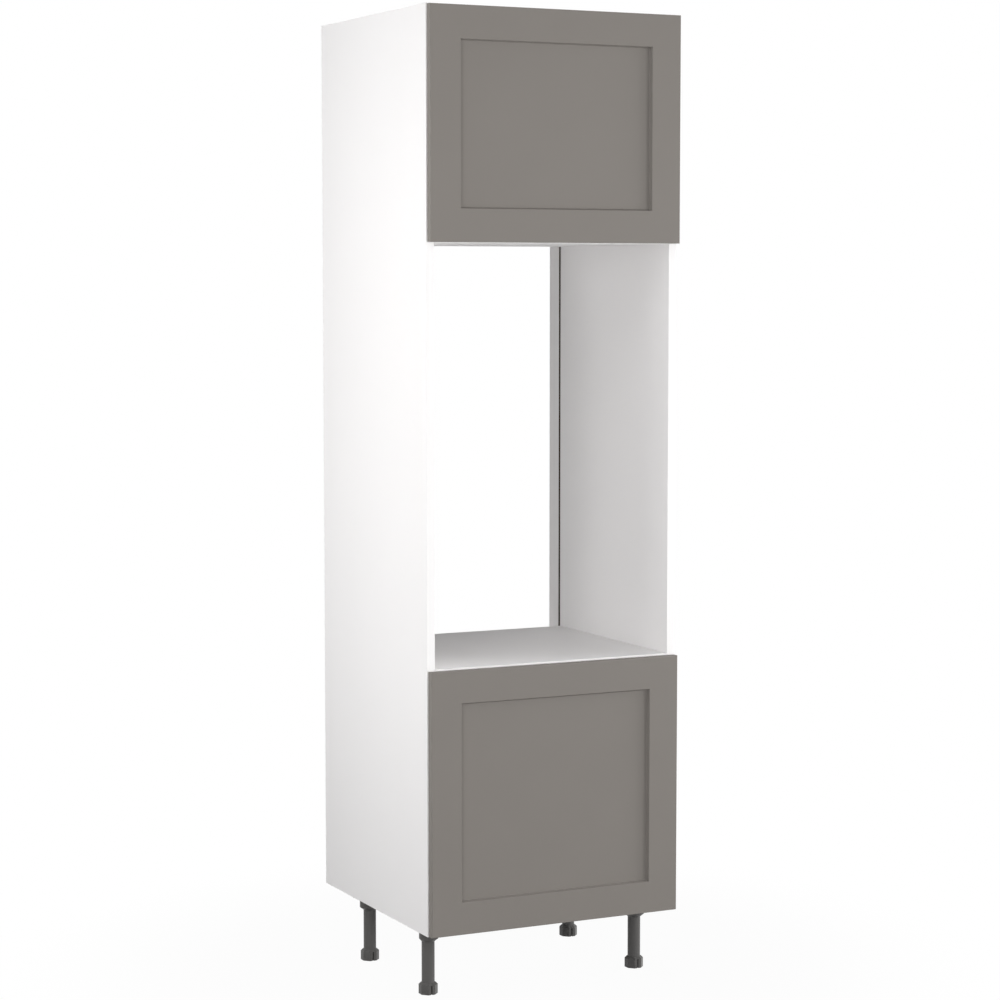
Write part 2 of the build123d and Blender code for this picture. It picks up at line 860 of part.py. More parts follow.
with BuildPart() as socket_screws:
    for x, y, z in socket_screw_points:
        pan_screw(
            (x, y, z - socket_flange),
            (0, 0, 1),
            socket_screw_radius,
            socket_screw_length,
            socket_screw_head,
            socket_screw_head_height,
        )
socket_screws.part.label = "socket_screws"
export_step(socket_screws.part, "parts/socket_screws.step")
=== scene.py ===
# %% [markdown]
# # A tall kitchen cabinet for a built-in oven
#
# This lesson dresses a finished construction model in Blender. The model gives every board, hinge
# and leg at its real size. Here they get real surfaces: softened edges, raw chipboard in the
# grooves, wrapped doors, pressed steel and moulded plastic. All lengths are in metres.

# %% Load the construction model
import json
import math

import bmesh
import bpy
from mathutils import Matrix, Vector


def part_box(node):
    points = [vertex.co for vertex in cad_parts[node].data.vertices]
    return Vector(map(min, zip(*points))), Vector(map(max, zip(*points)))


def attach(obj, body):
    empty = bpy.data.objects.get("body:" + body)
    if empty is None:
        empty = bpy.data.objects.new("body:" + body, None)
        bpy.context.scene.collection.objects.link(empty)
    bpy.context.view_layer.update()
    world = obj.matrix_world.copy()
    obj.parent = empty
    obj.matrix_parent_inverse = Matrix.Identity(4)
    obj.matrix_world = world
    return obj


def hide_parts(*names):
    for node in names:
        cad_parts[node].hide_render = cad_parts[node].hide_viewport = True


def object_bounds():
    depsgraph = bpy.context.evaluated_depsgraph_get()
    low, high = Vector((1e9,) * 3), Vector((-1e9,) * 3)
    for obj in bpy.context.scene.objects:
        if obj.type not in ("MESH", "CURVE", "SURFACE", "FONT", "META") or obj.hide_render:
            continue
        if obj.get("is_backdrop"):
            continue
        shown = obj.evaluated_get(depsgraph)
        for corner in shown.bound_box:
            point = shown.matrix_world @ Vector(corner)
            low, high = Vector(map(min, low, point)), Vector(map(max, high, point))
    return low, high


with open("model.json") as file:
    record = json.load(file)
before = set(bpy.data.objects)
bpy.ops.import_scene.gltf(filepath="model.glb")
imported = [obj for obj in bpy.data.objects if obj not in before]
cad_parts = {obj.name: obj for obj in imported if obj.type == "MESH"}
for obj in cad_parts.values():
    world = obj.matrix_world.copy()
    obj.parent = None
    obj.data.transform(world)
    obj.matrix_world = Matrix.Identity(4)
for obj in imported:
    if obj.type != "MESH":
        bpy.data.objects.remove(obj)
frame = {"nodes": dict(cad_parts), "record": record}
cad_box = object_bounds()
mm = 0.001


def new_object(name, data):
    made = bpy.data.objects.new(name, data)
    bpy.context.collection.objects.link(made)
    return made


print("nodes in the model:", len(frame["nodes"]))

# %% [markdown]
# ## Camera
#
# The photograph was taken from the front left with a long lens, so the upright edges stay almost
# parallel. The camera's place was worked out from the corners of the cabinet.

# %% Place the camera
CAMERA_PLACE = (-2.5901, -5.3112, 1.5503)
CAMERA_TURN = -26.05
CAMERA_DIP = 4.796
LENS_MM = 94.99

camera_data = bpy.data.cameras.new("camera")
camera_data.lens = LENS_MM
camera = new_object("camera", camera_data)
camera.location = CAMERA_PLACE
camera.rotation_euler = (math.radians(90 - CAMERA_DIP), 0, math.radians(CAMERA_TURN))
bpy.context.scene.camera = camera
print("the camera stands", round(camera.location.length, 2), "m from the middle of the floor")

# %% [markdown]
# ## Wiring nodes as sums
#
# Shaders and Geometry Nodes are both trees of nodes. Linking them by hand hides what they work out,
# so one small class wraps a socket and gives it Python's operators. A mask then reads like
# arithmetic, and the same class serves both kinds of tree.


# %% Wrap a socket
class Wire:
    """One socket in a tree of nodes, with arithmetic. Without a socket it only knows its tree."""

    def __init__(self, tree, socket=None):
        self.tree = tree
        self.socket = socket

    def node(self, kind, settings=None, sockets=None, out=0, stops=None):
        """Adds a node: its settings and ramp stops first, then its sockets' values or links."""
        made = self.tree.nodes.new(kind)
        for key, value in (settings or {}).items():
            setattr(made, key, value)
        if stops:
            ramp = made.color_ramp.elements
            while len(ramp) < len(stops):
                ramp.new(0.5)
            for element, (position, colour) in zip(ramp, stops):
                element.position = position
                element.color = (*colour, 1)
        for key, value in (sockets or {}).items():
            if isinstance(value, Wire):
                self.tree.links.new(value.socket, made.inputs[key])
            else:
                made.inputs[key].default_value = value
        return Wire(self.tree, made.outputs[out]) if len(made.outputs) else None

    def math(self, operation, first, second):
        return self.node("ShaderNodeMath", {"operation": operation}, {0: first, 1: second})

    def __add__(self, other):
        return self.math("ADD", self, other)

    def __sub__(self, other):
        return self.math("SUBTRACT", self, other)

    def __rsub__(self, other):
        return self.math("SUBTRACT", other, self)

    def __mul__(self, other):
        return self.math("MULTIPLY", self, other)

    __radd__ = __add__

    def mix(self, low, high):
        """Goes from the colour low to the colour high as this value goes from 0 to 1."""
        sockets = {0: self, 6: (*low, 1), 7: (*high, 1)}
        return self.node("ShaderNodeMix", {"data_type": "RGBA"}, sockets, out=2)


# %% [markdown]
# ## Studio
#
# A white room gives a weak even light, and soft lamps give each side its own brightness. A far one
# on the right, almost level with the doors, throws the soft shadow of the frames on the sunk fields.
# Three near ones on the left make the side panel brightest in front. A small one above lights the
# top and no side, because it is narrower than the cabinet. The camera and the reflections see plain
# white in place of the room, so the background stays white whatever light the room gives. The rear
# lamp stays out of reflections: from straight in front the niche would mirror it on every side.

# %% Paint the room
ROOM_LIGHT = 0.08


def seen_directly(wire):
    """Is 1 for rays that show the background: to the camera, in a reflection or through glass."""
    rays = [wire.node("ShaderNodeLightPath", out=name)
            for name in ("Is Camera Ray", "Is Glossy Ray", "Is Transmission Ray")]
    return rays[0] + rays[1] + rays[2]


scene = bpy.context.scene
scene.view_settings.view_transform = "Standard"
scene.world = bpy.data.worlds.new("white room")
scene.world.use_nodes = True
scene.world.node_tree.nodes.clear()
room = Wire(scene.world.node_tree)
light = room.node("ShaderNodeBackground", None, {"Strength": ROOM_LIGHT})
white = room.node("ShaderNodeBackground", None, {"Color": (1, 1, 1, 1)})
both = room.node("ShaderNodeMixShader", None, {0: seen_directly(room), 1: light, 2: white})
room.node("ShaderNodeOutputWorld", None, {"Surface": both})
print("room light:", ROOM_LIGHT)

# %% Hang the lamps
# name: (place, the point that it faces, side in metres, watts)
LAMPS = {
    "front": ((0, -5.0, 1.1), (0, 0, 1.05), 2.2, 56.0),
    "left_front": ((-3.6, -3.6, 1.3), (0, 0, 1.05), 2.4, 62.0),
    "left_high": ((-2.8, -2.8, 4.4), (0, 0, 1.05), 3.0, 44.0),
    "left_rear": ((-4.0, 3.5, 1.5), (0, 0, 1.05), 3.0, 26.0),
    "left_near_front": ((-1.5, -0.6, 1.9), (-0.3, -0.2, 1.9), 0.8, 2.5),
    "left_near_top": ((-1.5, -0.1, 1.9), (-0.3, -0.1, 1.9), 0.8, 6.4),
    "left_near_middle": ((-1.5, -0.15, 0.85), (-0.3, -0.15, 0.85), 0.8, 6.4),
    "right_front": ((3.6, -3.6, 1.2), (0, 0, 1.05), 2.2, 98.0),
    "right_far": ((7.0, -2.0, 1.5), (0, -0.3, 1.1), 2.6, 330.0),
    "rear": ((0, 5.0, 0.9), (0, 0, 0.9), 0.9, 118.0),
    "top": ((0, -0.5, 6.0), (0, -0.5, 1.05), 1.4, 40.0),
    "near_top": ((0, 0, 4.0), (0, 0, 2.1), 0.4, 15.0),
}

for name, (place, aim, side, power) in LAMPS.items():
    lamp_data = bpy.data.lights.new("lamp_" + name, "AREA")
    lamp_data.size = side
    lamp_data.energy = power
    lamp = new_object("lamp_" + name, lamp_data)
    lamp.location = place
    lamp.rotation_euler = (Vector(aim) - Vector(place)).to_track_quat("-Z", "Y").to_euler()
    lamp.visible_camera = False
    lamp.visible_glossy = name != "rear"
print("lamps:", ", ".join(LAMPS))

# %% [markdown]
# ## How a finish is put together
#
# Every finish starts from the point on the object and clouds of noise with a known grain size. It
# ends in a Principled shader. A relief goes through a Bump node, whose distance is the real height
# of the texture, so a mould grain of a hundredth of a millimetre stays a hundredth. A finish is
# never equally rough all over: its roughness follows the clouds a little way up and down.


# %% Start and end a finish
def begin_finish(name):
    """A new material, and a wire in its empty tree."""
    material = bpy.data.materials.new(name)
    material.use_nodes = True
    material.node_tree.nodes.clear()
    return material, Wire(material.node_tree)


def clouds(wire, grain, detail=2.0, stretch=(1, 1, 1), roughness=0.5, point=None):
    """Noise from 0 to 1. Its clouds are about a grain across, and shorter along a large stretch."""
    point = point or wire.node("ShaderNodeTexCoord", out="Object")
    laid = wire.node("ShaderNodeMapping", None, {"Vector": point, "Scale": stretch})
    sockets = {"Vector": laid, "Scale": 1 / grain, "Detail": detail, "Roughness": roughness}
    return wire.node("ShaderNodeTexNoise", None, sockets)


def darker(tint, share):
    return tuple(share * part for part in tint)


def varied(noise, middle, spread):
    """A value that follows the noise from a spread below the middle to a spread above it."""
    return middle - spread + noise * (2 * spread)


def gloss(level):
    """How much a finish mirrors. Plain plastic has 0.5, and 0 is none."""
    return {"Specular IOR Level": level}


def end_finish(wire, colour, roughness, relief, height, fixed=None):
    """Joins colour, roughness and relief to the shader. Fixed sockets have one value all over."""
    bump = {"Distance": height, "Height": relief}
    sockets = {
        **(fixed or {}), "Base Color": colour, "Roughness": roughness,
        "Normal": wire.node("ShaderNodeBump", None, bump),
    }
    shader = wire.node("ShaderNodeBsdfPrincipled", None, sockets)
    wire.node("ShaderNodeOutputMaterial", None, {"Surface": shader})


# %% [markdown]
# ## White melamine
#
# The carcass is chipboard with a white melamine skin, hard and slightly pearled: a grain of about a
# millimetre, ten microns high. It is matt, because a smoother skin mirrors the white room where it
# is seen at a low angle, as on the oven shelf. The front edges carry a band of smooth plastic. Its
# white is a little brighter than the melamine's, as painted light on the front edges. The noise
# moves the colour by two percent at most.


# %% Make the white finishes
MELAMINE_WHITE = (0.868, 0.856, 0.854)
# The band's white is raised above the melamine's: painted light on the front edges.
BAND_WHITE_PAINTED_BRIGHTER = (0.920, 0.910, 0.908)


def white_skin(name, tint, roughness, height):
    material, wire = begin_finish(name)
    pearl = clouds(wire, 0.9 * mm, detail=3.0)
    drift = clouds(wire, 180 * mm, detail=1.0)
    colour = (pearl * 0.35 + drift * 0.65).mix(darker(tint, 0.98), tint)
    end_finish(wire, colour, varied(pearl, roughness, 0.05), pearl, height, gloss(0.06))
    return material


white_melamine = white_skin("white melamine", MELAMINE_WHITE, 0.58, 0.010 * mm)
band_painted_brighter = white_skin("edge band painted brighter", BAND_WHITE_PAINTED_BRIGHTER, 0.30, 0.002 * mm)
print("finishes:", white_melamine.name, "and", band_painted_brighter.name)

# %% [markdown]
# ## Chipboard
#
# Where a board is sawn, grooved or drilled its core shows. Chipboard has fine dust near its faces
# and coarse flakes in the middle, all pressed flat. Each board stores two things on its points: how
# far across the board a point lies, from -1 to 1, and the point squeezed in that direction. Both run
# evenly over a flat cut, so they stay exact on the largest face. A sawn edge is tan. The groove is
# milled into the coarse middle. Its finish is the same chipboard painted almost black, as painted
# shade for the inside of the narrow groove.

# %% Make the chipboard
FLAKE = 2.4 * mm
DUST = 0.5 * mm


def chipboard(name, dark, middle, pale):
    material, wire = begin_finish(name)
    across = wire.node("ShaderNodeAttribute", {"attribute_name": "across"}, out="Fac")
    pressed = wire.node("ShaderNodeAttribute", {"attribute_name": "pressed"}, out="Vector")
    heart = 1 - across.math("ABSOLUTE", across, 0.0)
    cells = {"Vector": pressed, "Scale": 1 / FLAKE}
    flake = wire.node("ShaderNodeTexVoronoi", None, cells, out="Color")
    tone = wire.node("ShaderNodeSeparateColor", None, {0: flake})
    dust = clouds(wire, DUST, detail=4.0, point=pressed)
    mixture = tone * heart * 0.55 + dust * 0.35 + (1 - heart) * 0.16
    stops = [(0.0, dark), (0.45, middle), (1.0, pale)]
    colour = wire.node("ShaderNodeValToRGB", None, {0: mixture}, stops=stops)
    end_finish(wire, colour, 0.85, mixture, 0.3 * mm, gloss(0.1))
    return material


chipboard_core = chipboard(
    "chipboard core", (0.13, 0.08, 0.045), (0.38, 0.26, 0.155), (0.66, 0.50, 0.34)
)
# The groove's finish is chipboard painted far darker: painted shade inside the narrow groove.
groove_core_painted_shade = chipboard(
    "groove core with painted shade", (0.010, 0.005, 0.003), (0.055, 0.028, 0.015), (0.26, 0.16, 0.10)
)
print("finishes:", chipboard_core.name, "and", groove_core_painted_shade.name)

# %% [markdown]
# ## The wrapped doors
#
# The doors are fibreboard, milled and wrapped in one warm grey skin. It is matt and very smooth. Up
# close it has a faint orange peel, and the colour drifts a little over the height of a door. The
# bores for the hinges show the core.

# %% Make the door finishes
warm_grey_wrap, wire = begin_finish("warm grey wrap")
peel = clouds(wire, 1.6 * mm)
drift = clouds(wire, 140 * mm, detail=1.0)
colour = (drift * 0.7 + peel * 0.3).mix((0.200, 0.185, 0.170), (0.213, 0.197, 0.181))
end_finish(wire, colour, varied(peel, 0.50, 0.04), peel, 0.008 * mm, gloss(0.10))

fibreboard_core, wire = begin_finish("fibreboard core")
fibre = clouds(wire, 0.35 * mm, detail=5.0)
colour = fibre.mix((0.22, 0.135, 0.07), (0.36, 0.24, 0.135))
end_finish(wire, colour, 0.9, fibre, 0.05 * mm)
print("finishes:", warm_grey_wrap.name, "and", fibreboard_core.name)

# %% [markdown]
# ## Plastic, metal and beech
#
# The legs are moulded in black polypropylene. The tube and socket are dull from a spark-eroded
# mould, and the feet come from a polished one. The hinges with their screws and the pegs are
# nickel-plated. The other screws, the bolts and the hinge pins are zinc-plated, and the cams are
# die-cast, with a duller and rougher skin. The dowels are beech: small brown flecks on a pale
# ground, drawn out along the dowel.


# %% Make the finishes of the fittings
def moulded(name, tint, roughness, grain, height, fixed):
    """Plastic with the skin of its mould."""
    material, wire = begin_finish(name)
    pits = clouds(wire, grain, detail=3.0, roughness=0.7)
    drift = clouds(wire, 60 * mm)
    colour = (pits * 0.4 + drift * 0.6).mix(darker(tint, 0.85), tint)
    end_finish(wire, colour, varied(pits, roughness, 0.05), pits, height, fixed)
    return material


def bare_metal(name, tint, roughness, stretch=(1, 1, 1), height=0.004 * mm):
    """Plated or cast metal. A stretch draws its fine marks out in one direction."""
    material, wire = begin_finish(name)
    marks = clouds(wire, 0.5 * mm, detail=3.0, stretch=stretch)
    drift = clouds(wire, 20 * mm)
    colour = (marks * 0.5 + drift * 0.5).mix(darker(tint, 0.86), tint)
    end_finish(wire, colour, varied(marks, roughness, 0.06), marks, height, {"Metallic": 1.0})
    return material


dull_black = moulded(
    "dull black plastic", (0.112, 0.109, 0.106), 0.30, 0.5 * mm, 0.006 * mm, gloss(0.12)
)
polished_black = moulded(
    "polished black plastic", (0.106, 0.103, 0.100), 0.16, 2 * mm, 0.002 * mm, gloss(0.12)
)
clear_dot = moulded(
    "clear soft plastic", (0.72, 0.72, 0.70), 0.30, 1 * mm, 0.004 * mm,
    {"Transmission Weight": 0.6, "IOR": 1.45},
)
bright_nickel = bare_metal("bright nickel", (0.66, 0.63, 0.58), 0.24, (1, 5, 1))
zinc_plate = bare_metal("zinc plate", (0.62, 0.63, 0.66), 0.30)
die_cast_zinc = bare_metal("die-cast zinc", (0.42, 0.42, 0.43), 0.46, height=0.02 * mm)

beech, wire = begin_finish("beech wood")
rays = clouds(wire, 0.6 * mm, detail=3.0, stretch=(0.12, 1, 1))
stops = [(0.0, (0.36, 0.19, 0.08)), (0.45, (0.55, 0.33, 0.15)), (1.0, (0.64, 0.41, 0.20))]
colour = wire.node("ShaderNodeValToRGB", None, {0: rays}, stops=stops)
end_finish(wire, colour, 0.62, rays, 0.03 * mm)

# %% [markdown]
# ## Handing a piece over
#
# Each piece is a mesh whose points already lie where the cabinet has them. It rides on a body of
# the model, takes a material slot, and stands for the plain node that it dresses.

# %% Helpers for pieces
KEEN_ANGLE = 35.0
record = frame["record"]
bodies = record["behaviour"]["bodies"]
body_of_node = {node: body for body, nodes in bodies.items() for node in nodes}


def mesh_from(name, build, *finishes):
    """Ends a bmesh and turns it into a mesh with its finishes."""
    mesh = bpy.data.meshes.new(name)
    build.to_mesh(mesh)
    build.free()
    for finish in finishes:
        mesh.materials.append(finish)
    return mesh


def bake_modifiers(made):
    """Turns an object and its modifiers into a plain mesh on the same object."""
    graph = bpy.context.evaluated_depsgraph_get()
    plain = bpy.data.meshes.new_from_object(made.evaluated_get(graph))
    made.modifiers.clear()
    made.data = plain


def soften_edges(made, width, degrees):
    """Rounds off every edge that turns by more than an angle."""
    bevel = made.modifiers.new("soften", "BEVEL")
    bevel.width = width
    bevel.segments = 2
    bevel.limit_method = "ANGLE"
    bevel.angle_limit = math.radians(degrees)
    bake_modifiers(made)


def combine(made, operation, other):
    """Adds the other solid or takes it away. Its faces in the result keep its finish."""
    step = made.modifiers.new("combine", "BOOLEAN")
    step.operation = operation
    step.solver = "EXACT"
    step.material_mode = "TRANSFER"
    step.object = other
    bake_modifiers(made)
    bpy.data.objects.remove(other)


def smooth_mesh(mesh, degrees=KEEN_ANGLE):
    """Smooth faces, with a sharp edge where they turn by more than an angle."""
    mesh.shade_smooth()
    mesh.set_sharp_from_angle(angle=math.radians(degrees))
    return mesh


def shade_by_angle(made, degrees=KEEN_ANGLE):
    """Round stays round and flat stays flat: keen edges are sharp, and large faces lead."""
    smooth_mesh(made.data, degrees)
    lead = made.modifiers.new("large faces lead", "WEIGHTED_NORMAL")
    lead.keep_sharp = True
    bake_modifiers(made)


def hand_over(piece, node):
    """The piece takes the place of a node of the model."""
    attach(piece, body_of_node[node])
    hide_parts(node)


print("bodies:", ", ".join(sorted(set(body_of_node.values()))))

# %% [markdown]
# ## Copies and drilled holes
#
# Pegs, cams, screws and the holes that they sit in repeat on known points. One Geometry Nodes tree
# puts a copy of a shape on every point. A second one drills: it sets a row of cylinders at a pitch
# on each point, and the boards are cut with them. Both make their copies real at the end, because
# an export keeps meshes but drops instances.


# %% Helpers for Geometry Nodes
def begin_tree(name, inputs):
    """A tree with named inputs: gives the tree and a wire for each input."""
    tree = bpy.data.node_groups.new(name, "GeometryNodeTree")
    for label, kind in inputs.items():
        tree.interface.new_socket(label, in_out="INPUT", socket_type="NodeSocket" + kind)
    tree.interface.new_socket("Mesh", in_out="OUTPUT", socket_type="NodeSocketGeometry")
    start = tree.nodes.new("NodeGroupInput")
    return tree, {label: Wire(tree, start.outputs[label]) for label in inputs}


def end_tree(copies, finish):
    """Makes the copies real and gives them their finish."""
    real = copies.node("GeometryNodeRealizeInstances", None, {"Geometry": copies})
    painted = copies.node("GeometryNodeSetMaterial", None, {"Geometry": real, "Material": finish})
    copies.node("NodeGroupOutput", None, {"Mesh": painted})


def grow(name, tree, points, values):
    """Runs a tree on a cloud of points and gives a plain mesh object."""
    dots = bpy.data.meshes.new(name)
    dots.from_pydata(points, [], [])
    made = new_object(name, dots)
    modifier = made.modifiers.new("grow", "NODES")
    modifier.node_group = tree
    for item in tree.interface.items_tree:
        if item.name in values:
            modifier[item.identifier] = values[item.name]
    bake_modifiers(made)
    made.data.materials.clear()
    made.data.materials.append(values["Finish"])
    made.data.polygons.foreach_set("material_index", [0] * len(made.data.polygons))
    return made


# %% Build the two trees
HOLE_SIDES = 32


def copies_tree():
    tree, given = begin_tree("copies on points", {
        "Points": "Geometry", "Shape": "Object", "Turn": "Rotation", "Finish": "Material",
    })
    chosen = {"Object": given["Shape"]}
    shape = given["Shape"].node("GeometryNodeObjectInfo", None, chosen, out="Geometry")
    sockets = {"Points": given["Points"], "Instance": shape, "Rotation": given["Turn"]}
    end_tree(shape.node("GeometryNodeInstanceOnPoints", None, sockets), given["Finish"])
    return tree


def holes_tree():
    tree, given = begin_tree("rows of holes", {
        "Rows": "Geometry", "Radius": "Float", "Depth": "Float", "Pitch": "Float", "Holes": "Int",
        "Proud": "Float", "Turn": "Rotation", "Finish": "Material",
    })
    pitch = given["Pitch"]
    step = pitch.node("ShaderNodeCombineXYZ", None, {"Z": pitch})
    first = pitch.node("ShaderNodeCombineXYZ", None, {"Z": (given["Holes"] - 1) * pitch * -0.5})
    row = {"Count": given["Holes"], "Start Location": first, "Offset": step}
    line = pitch.node("GeometryNodeMeshLine", {"mode": "OFFSET"}, row)
    sockets = {"Points": given["Rows"], "Instance": line}
    rows = pitch.node("GeometryNodeInstanceOnPoints", None, sockets)
    mouths = pitch.node("GeometryNodeRealizeInstances", None, {"Geometry": rows})
    length = given["Depth"] + given["Proud"]
    size = {"Vertices": HOLE_SIDES, "Radius": given["Radius"], "Depth": length}
    hole = pitch.node("GeometryNodeMeshCylinder", None, size)
    lift = pitch.node("ShaderNodeCombineXYZ", None, {"Z": (given["Proud"] - given["Depth"]) * 0.5})
    sunk = pitch.node("GeometryNodeTransform", None, {"Geometry": hole, "Translation": lift})
    sockets = {"Points": mouths, "Instance": sunk, "Rotation": given["Turn"]}
    end_tree(pitch.node("GeometryNodeInstanceOnPoints", None, sockets), given["Finish"])
    return tree


COPIES = copies_tree()
HOLES = holes_tree()
OVERSHOOT = 0.5 * mm
FACING = {
    "up": (0.0, 0.0, 0.0),
    "down": (math.pi, 0.0, 0.0),
    "right": (math.pi, -math.pi / 2, 0.0),
    "left": (0.0, -math.pi / 2, 0.0),
    "back": (-math.pi / 2, 0.0, 0.0),
}


def copies(name, points, shape, facing, finish):
    """Copies of a shape on the points. The shape's top looks the way that they face."""
    model = new_object("model_of_" + name, shape)
    values = {"Shape": model, "Turn": FACING[facing], "Finish": finish}
    made = grow(name, COPIES, points, values)
    bpy.data.objects.remove(model)
    return made


def holes(points, radius, depth, facing, finish, count=1, pitch=0.0):
    """Cutters for blind holes in a face that looks the way that they face."""
    values = {
        "Radius": radius, "Depth": depth, "Pitch": pitch, "Holes": count, "Proud": OVERSHOOT,
        "Turn": FACING[facing], "Finish": finish,
    }
    return grow("holes", HOLES, points, values)


print("trees:", COPIES.name, "and", HOLES.name)

# %% [markdown]
# ## Boards
#
# A board is a box with its edges broken by a third of a millimetre, as an edge bander leaves them.
# Its two faces are melamine, its front edge is banded, and its other edges are sawn. The backs are
# sawn all round. Grooves and holes are cut with solids that carry the finish of the cut, and the cut
# faces keep it.

# %% Make a board
ARRIS = 0.35 * mm
BOARD_FINISHES = (white_melamine, chipboard_core, band_painted_brighter)
CORE, BAND = 1, 2
X, Y, Z = 0, 1, 2
SAME_WAY = 0.9
SQUEEZE = 2.5


def box_mesh(name, low, high, arris, *finishes):
    build = bmesh.new()
    low, high = Vector(low), Vector(high)
    place = Matrix.Translation((low + high) / 2) @ Matrix.Diagonal((*(high - low), 1))
    bmesh.ops.create_cube(build, size=1, matrix=place)
    if arris:
        bmesh.ops.bevel(build, geom=build.edges[:], offset=arris, segments=3, profile=0.5,
                        affect="EDGES")
    return mesh_from(name, build, *finishes)


def sawn_board(node, sawn, banded=((Y, -1),)):
    """A board in the place of a node. A side is an axis and the direction that it looks."""
    mesh = box_mesh(node, *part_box(node), ARRIS, *BOARD_FINISHES)
    for face in mesh.polygons:
        for sides, finish in ((sawn, CORE), (banded, BAND)):
            if any(face.normal[axis] * direction > SAME_WAY for axis, direction in sides):
                face.material_index = finish
    return new_object("board_" + node, mesh)


def finish_board(board, node, thick_axis):
    """Stores where the points lie in the board, for its core, and hands the board over."""
    low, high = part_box(node)
    middle = (low + high) / 2
    half = (high - low)[thick_axis] / 2
    across = board.data.attributes.new("across", "FLOAT", "POINT")
    pressed = board.data.attributes.new("pressed", "FLOAT_VECTOR", "POINT")
    for vertex in board.data.vertices:
        squeezed = vertex.co.copy()
        squeezed[thick_axis] *= SQUEEZE
        across.data[vertex.index].value = (vertex.co[thick_axis] - middle[thick_axis]) / half
        pressed.data[vertex.index].vector = squeezed
    shade_by_angle(board)
    hand_over(board, node)
    print(board.name, "faces:", len(board.data.polygons))


# %% Read the carcass
side_low, side_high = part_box("side_panel_right")
deck_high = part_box("oven_shelf")[1]
FRONT = side_low.y
INNER = deck_high.x
DECK_REAR = deck_high.y
GROOVE_WIDTH = 8 * mm
GROOVE_DEPTH = 8 * mm
DECKS = ("bottom_panel", "oven_shelf", "upper_box_floor", "top_panel")
LEVELS = ("lower", "upper")
SIDES = ((-1, "right"), (1, "left"))
deck_middles = {node: sum(corner.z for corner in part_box(node)) / 2 for node in DECKS}
print("clear width", round(2 * INNER, 4), "m, depth", round(side_high.y - FRONT, 4), "m")

# %% Saw, groove and drill the side panels
PEG_HOLE_RADIUS = 2.55 * mm
PEG_HOLE_DEPTH = 10 * mm
PEG_PITCH = 32 * mm
PEG_HOLES = 5
PEG_HALF_WIDTH = 4.5 * mm
PEG_RADIUS = 2.5 * mm


def peg_points(level, side):
    """Where the pegs of one shelf enter one side panel, front and rear."""
    low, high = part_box(level + "_shelf_pegs")
    rows = (low.y + PEG_HALF_WIDTH, high.y - PEG_HALF_WIDTH)
    return [Vector((side * INNER, row, high.z - PEG_RADIUS)) for row in rows]


for node, (side, facing) in zip(("side_panel_left", "side_panel_right"), SIDES):
    panel = sawn_board(node, [(Y, 1), (Z, 1), (Z, -1)])
    bed = sorted((side * (INNER - OVERSHOOT), side * (INNER + GROOVE_DEPTH)))
    low = (bed[0], DECK_REAR, side_low.z - OVERSHOOT)
    high = (bed[1], DECK_REAR + GROOVE_WIDTH, side_high.z + OVERSHOOT)
    # The groove's cut faces take the core finish with painted shade.
    groove = new_object("groove", box_mesh("groove", low, high, 0, groove_core_painted_shade))
    combine(panel, "DIFFERENCE", groove)
    rows = [point for level in LEVELS for point in peg_points(level, side)]
    combine(panel, "DIFFERENCE", holes(
        rows, PEG_HOLE_RADIUS, PEG_HOLE_DEPTH, facing, chipboard_core, PEG_HOLES, PEG_PITCH
    ))
    finish_board(panel, node, X)

# %% Saw and drill the decks
CAM_RADIUS = 7.4 * mm
CAM_HOLE_RADIUS = 7.5 * mm
CAM_HOLE_DEPTH = 12.5 * mm
cam_low, cam_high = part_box("cam_discs")
cam_points = {"up": [], "down": []}
for node in DECKS:
    low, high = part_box(node)
    facing, mouth = ("up", high.z) if node == "upper_box_floor" else ("down", low.z)
    points = [
        (x, y, mouth)
        for x in (cam_low.x + CAM_RADIUS, cam_high.x - CAM_RADIUS)
        for y in (cam_low.y + CAM_RADIUS, cam_high.y - CAM_RADIUS)
    ]
    cam_points[facing] += points
    deck = sawn_board(node, [(Y, 1), (X, 1), (X, -1)])
    sockets = holes(points, CAM_HOLE_RADIUS, CAM_HOLE_DEPTH, facing, chipboard_core)
    combine(deck, "DIFFERENCE", sockets)
    finish_board(deck, node, Z)

# %% Saw the shelves and the backs
for level in LEVELS:
    shelf = level + "_shelf"
    finish_board(sawn_board(shelf, [(Y, 1), (X, 1), (X, -1)]), shelf, Z)
    back = level + "_back_panel"
    finish_board(sawn_board(back, [(X, 1), (X, -1), (Z, 1), (Z, -1)], banded=()), back, Y)

# %% [markdown]
# ## Doors
#
# A door is milled from one board, so its whole section can be written as a list of steps: round the
# back edge and the front edge, across the flat frame, down the slope and on to the sunk field. Each
# step is a rectangle at its own inset and depth. Joined in turn they close into a solid whose
# corners are mitred, as on a milled frame.

# %% Draw the section of a door
EDGE_RADIUS = 2 * mm
FRAME_WIDTH = 70 * mm
FIELD_SINK = 9 * mm
SLOPE_RUN = 3 * mm
ARRIS_RADIUS = 0.8 * mm
HOLLOW_RADIUS = 1.0 * mm
ARC_STEPS = 6


def quarter(centre, radius, start, steps=ARC_STEPS):
    """The points of a quarter circle, from a start angle in degrees."""
    angles = [math.radians(start + 90 * step / steps) for step in range(steps + 1)]
    return [(centre[0] + radius * math.cos(a), centre[1] + radius * math.sin(a)) for a in angles]


def eased(before, corner, after, radius):
    """The arc that rounds a corner of an outline and touches both of its sides."""
    before, corner, after = Vector(before), Vector(corner), Vector(after)
    one, two = (before - corner).normalized(), (after - corner).normalized()
    half = one.angle(two) / 2
    centre = corner + (one + two).normalized() * radius / math.sin(half)
    start = (corner + one * radius / math.tan(half) - centre).normalized()
    end = (corner + two * radius / math.tan(half) - centre).normalized()
    steps = [step / ARC_STEPS for step in range(ARC_STEPS + 1)]
    return [tuple(centre + start.slerp(end, part) * radius) for part in steps]


